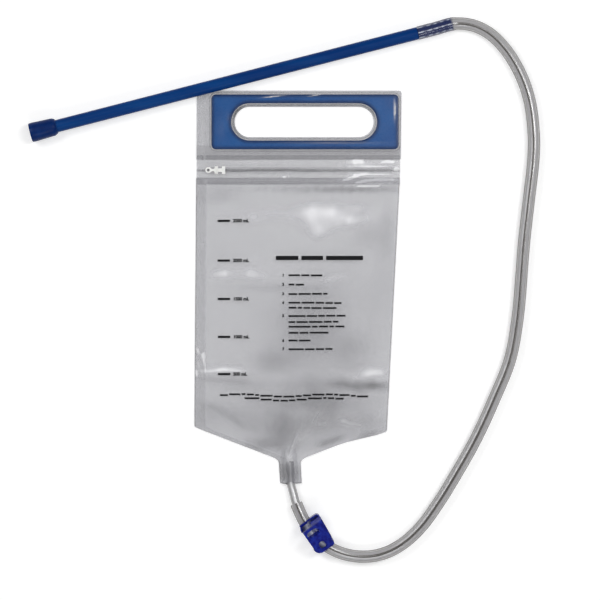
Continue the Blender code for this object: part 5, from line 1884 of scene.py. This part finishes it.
@dataclass
class FeedingProbe:
    """The stiff probe: a blue tube with a bulb at its tip, and a barbed spigot that the hose grips."""

    finishes: Finishes
    heel: Vector = field(default_factory=lambda: Vector((0.1363, 0.2926, 0.0073)))
    direction: Vector = field(default_factory=lambda: Vector((-0.9681984, -0.2500326, 0.0086957)))
    length: float = 0.454
    radius: float = 0.0072
    bore: float = 0.005
    heel_chamfer: float = 0.0004
    play: float = 0.0003
    tip_radius: float = 0.01115
    tip_heel: float = 0.0102
    tip_length: float = 0.031
    tip_lip: float = 0.006
    tip_rounding: float = 0.0012
    # The spigot's shank, its bore, how far it reaches into the tube, and its ridges outside
    shank: float = 0.0047
    shank_bore: float = 0.0034
    shank_inside: float = 0.016
    ridge_radius: float = 0.0058
    ridge_back: float = 0.0008
    ridges: tuple[float, ...] = (0.011, 0.0217, 0.0374)
    barb_length: float = 0.041

    def build(self) -> None:
        """Makes the tube, its tip and the barbed spigot."""
        turned = self.direction.to_track_quat("Z", "Y").to_matrix().to_4x4()
        place = Matrix.Translation(self.heel) @ turned
        for name, profile, finish in (
            ("probe_tube", self.tube_profile(), self.finishes.probe),
            ("probe_tip", self.tip_profile(), self.finishes.tip),
            ("hose_barb", self.spigot_profile(), self.finishes.barb),
        ):
            made = finished(f"{name}_turned", lathe(profile, place), finish)
            hand_over(made, Body.PROBE, [name])

    def tube_profile(self) -> list[tuple[float, float]]:
        """The tube's wall, with a chamfer at its heel.

        Returns:
            Its corners as (radius, place along the probe).
        """
        return [
            (self.radius, self.length - self.play),
            (self.radius, self.heel_chamfer),
            (self.radius - self.heel_chamfer, 0.0),
            (self.bore, 0.0),
            (self.bore, self.length - self.play),
        ]

    def tip_profile(self) -> list[tuple[float, float]]:
        """The tip's wall: a sleeve over the tube that flares to its mouth.

        Returns:
            Its corners as (radius, place along the probe), all rounded.
        """
        mouth = self.length + self.tip_lip
        heel = mouth - self.tip_length
        corners = [
            (self.bore + self.tip_rounding, mouth),
            (self.tip_radius - 0.0002, mouth),
            (self.tip_radius, mouth - 0.004),
            (self.tip_heel, heel + 0.0034),
            (self.radius + 0.0011, heel),
            (self.radius + self.play, heel),
            (self.radius + self.play, self.length),
            (self.bore, self.length),
            (self.bore, mouth - self.tip_rounding),
        ]
        return rounded(corners, self.tip_rounding)

    def spigot_profile(self) -> list[tuple[float, float]]:
        """The spigot's wall, with a sharp ridge at each place where it grips the hose.

        Returns:
            Its corners as (radius, place along the probe).
        """
        corners = [(self.shank, self.shank_inside)]
        for ridge in self.ridges:
            corners += [(self.shank, self.ridge_back - ridge), (self.ridge_radius, -ridge)]
        end = -self.barb_length
        return [*corners, (self.shank, end), (self.shank_bore, end), (self.shank_bore, self.shank_inside)]


@dataclass
class Softbox:
    """A square studio lamp with a diffuser."""

    name: str
    place: tuple[float, float, float]
    size: tuple[float, float]
    power: float

    def build(self) -> None:
        """Hangs the lamp, turned to the object."""
        light = bpy.data.lights.new(self.name, "AREA")
        light.shape = "RECTANGLE"
        light.size, light.size_y = self.size
        light.energy = self.power
        lamp = bpy.data.objects.new(self.name, light)
        lamp.location = self.place
        lamp.rotation_euler = (-Vector(self.place)).to_track_quat("-Z", "Y").to_euler()
        bpy.context.scene.collection.objects.link(lamp)


@dataclass
class Studio:
    """A pale floor under soft lamps, with the camera straight above."""

    centre: tuple[float, float] = (0.00081, -0.0145)
    height: float = 3.0
    # The picture's width, measured at the height where the object's outlines lie
    view_width: float = 0.69
    outline_height: float = 0.01
    floor_size: float = 6.0
    floor_gap: float = 0.0009
    # The sky's brightness at its rim, and overhead
    horizon: float = 0.65
    ceiling: float = 0.2
    lamps: tuple[Softbox, ...] = (
        Softbox("softbox_left", (-1.15, 0.75, 1.75), (1.1, 0.8), 15.0),
        Softbox("softbox_right", (0.95, 0.45, 1.9), (0.5, 0.8), 16.0),
        Softbox("softbox_front", (0.25, -1.3, 1.6), (0.9, 0.4), 8.0),
        Softbox("softbox_overhead", (0.55, 0.35, 3.6), (0.8, 1.1), 7.0),
    )

    def set_camera(self) -> None:
        """Hangs the camera straight above the object's middle."""
        data = bpy.data.cameras.new("camera")
        data.lens = data.sensor_width * (self.height - self.outline_height) / self.view_width
        data.clip_end = 50.0
        camera = bpy.data.objects.new("camera", data)
        camera.location = (*self.centre, self.height)
        bpy.context.scene.collection.objects.link(camera)
        bpy.context.scene.camera = camera

    def build(self) -> None:
        """Lays the floor, hangs the lamps and sets the sky."""
        bm = bmesh.new()
        bmesh.ops.create_grid(bm, x_segments=1, y_segments=1, size=self.floor_size / 2)
        bmesh.ops.translate(bm, vec=(0.0, 0.0, -self.floor_gap), verts=bm.verts)
        floor = finished("studio_floor", bm, self.floor_paper())
        for lamp in self.lamps:
            lamp.build()
        world = bpy.data.worlds.new("pale_studio")
        world.use_nodes = True
        world.node_tree.nodes.clear()
        way = add_node(world.node_tree, "ShaderNodeTexCoord").outputs["Generated"]
        height = add_node(world.node_tree, "ShaderNodeSeparateXYZ", links={0: way}).outputs["Z"]
        bright = add_node(
            world.node_tree,
            "ShaderNodeMapRange",
            {
                "interpolation_type": "SMOOTHSTEP",
                "From Min": 0.1,
                "From Max": 0.4,
                "To Min": self.horizon,
                "To Max": self.ceiling,
            },
            {"Value": height},
        )
        light = add_node(
            world.node_tree,
            "ShaderNodeBackground",
            {"Color": (1.0, 1.0, 1.0, 1.0)},
            {"Strength": bright.outputs["Result"]},
        )
        sky = add_node(world.node_tree, "ShaderNodeOutputWorld")
        world.node_tree.links.new(light.outputs[0], sky.inputs[0])
        bpy.context.scene.world = world
        bpy.context.scene.view_settings.view_transform = "Standard"

    @staticmethod
    def seen(tree: NodeTree) -> NodeSocket:
        """Tells the rays that show the background, in the picture, in gloss or through clear pieces.

        Args:
            tree: the floor's tree.

        Returns:
            An output that is 1 for such a ray and 0 for the rest.
        """
        path = add_node(tree, "ShaderNodeLightPath").outputs
        either = add_node(
            tree,
            "ShaderNodeMath",
            {"operation": "MAXIMUM"},
            {0: path["Is Camera Ray"], 1: path["Is Transmission Ray"]},
        )
        return add_node(
            tree, "ShaderNodeMath", {"operation": "MAXIMUM"}, {0: either.outputs[0], 1: path["Is Glossy Ray"]}
        ).outputs[0]

    def floor_paper(self) -> Material:
        """Makes white paper, which keeps the shadow and shows as white in the picture.

        Returns:
            The material.
        """
        material, tree, output = blank_material("white_paper")
        place = add_node(tree, "ShaderNodeTexCoord").outputs["Object"]
        fibre = add_node(tree, "ShaderNodeTexNoise", {"Scale": 500.0, "Detail": 2.0}, {"Vector": place})
        bump = add_node(
            tree, "ShaderNodeBump", {"Strength": 0.2, "Distance": 0.0002}, {"Height": fibre.outputs[0]}
        )
        paper = add_node(
            tree,
            "ShaderNodeBsdfPrincipled",
            {"Base Color": linear("#DEDEDE"), "Roughness": 0.9, "Specular IOR Level": 0.1},
            {"Normal": bump.outputs["Normal"]},
        )
        glow = add_node(tree, "ShaderNodeEmission", {"Strength": 0.4})
        both = add_node(tree, "ShaderNodeAddShader", links={0: paper.outputs[0], 1: glow.outputs[0]})
        mix = add_node(
            tree, "ShaderNodeMixShader", links={0: self.seen(tree), 1: paper.outputs[0], 2: both.outputs[0]}
        )
        tree.links.new(mix.outputs[0], output.inputs[0])
        return material


def main() -> None:
    """Builds the feeder's pieces in order and reports each."""
    logging.basicConfig(level=logging.INFO, format="%(name)s: %(message)s")
    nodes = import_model()["nodes"]
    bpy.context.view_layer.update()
    studio = Studio()
    studio.set_camera()
    finishes = Finishes.mixed()
    FeedingHose(finishes).build()
    bag = FeedingBag(nodes, finishes)
    bag.build()
    VolumeScale(bag, finishes.ink).build()
    ZipClosure(nodes, finishes).build()
    CarryingPlate(nodes, finishes.plate).build()
    PinchClamp(nodes, finishes.clamp).build()
    FeedingProbe(finishes).build()
    studio.build()


if __name__ == "__main__":
    main()
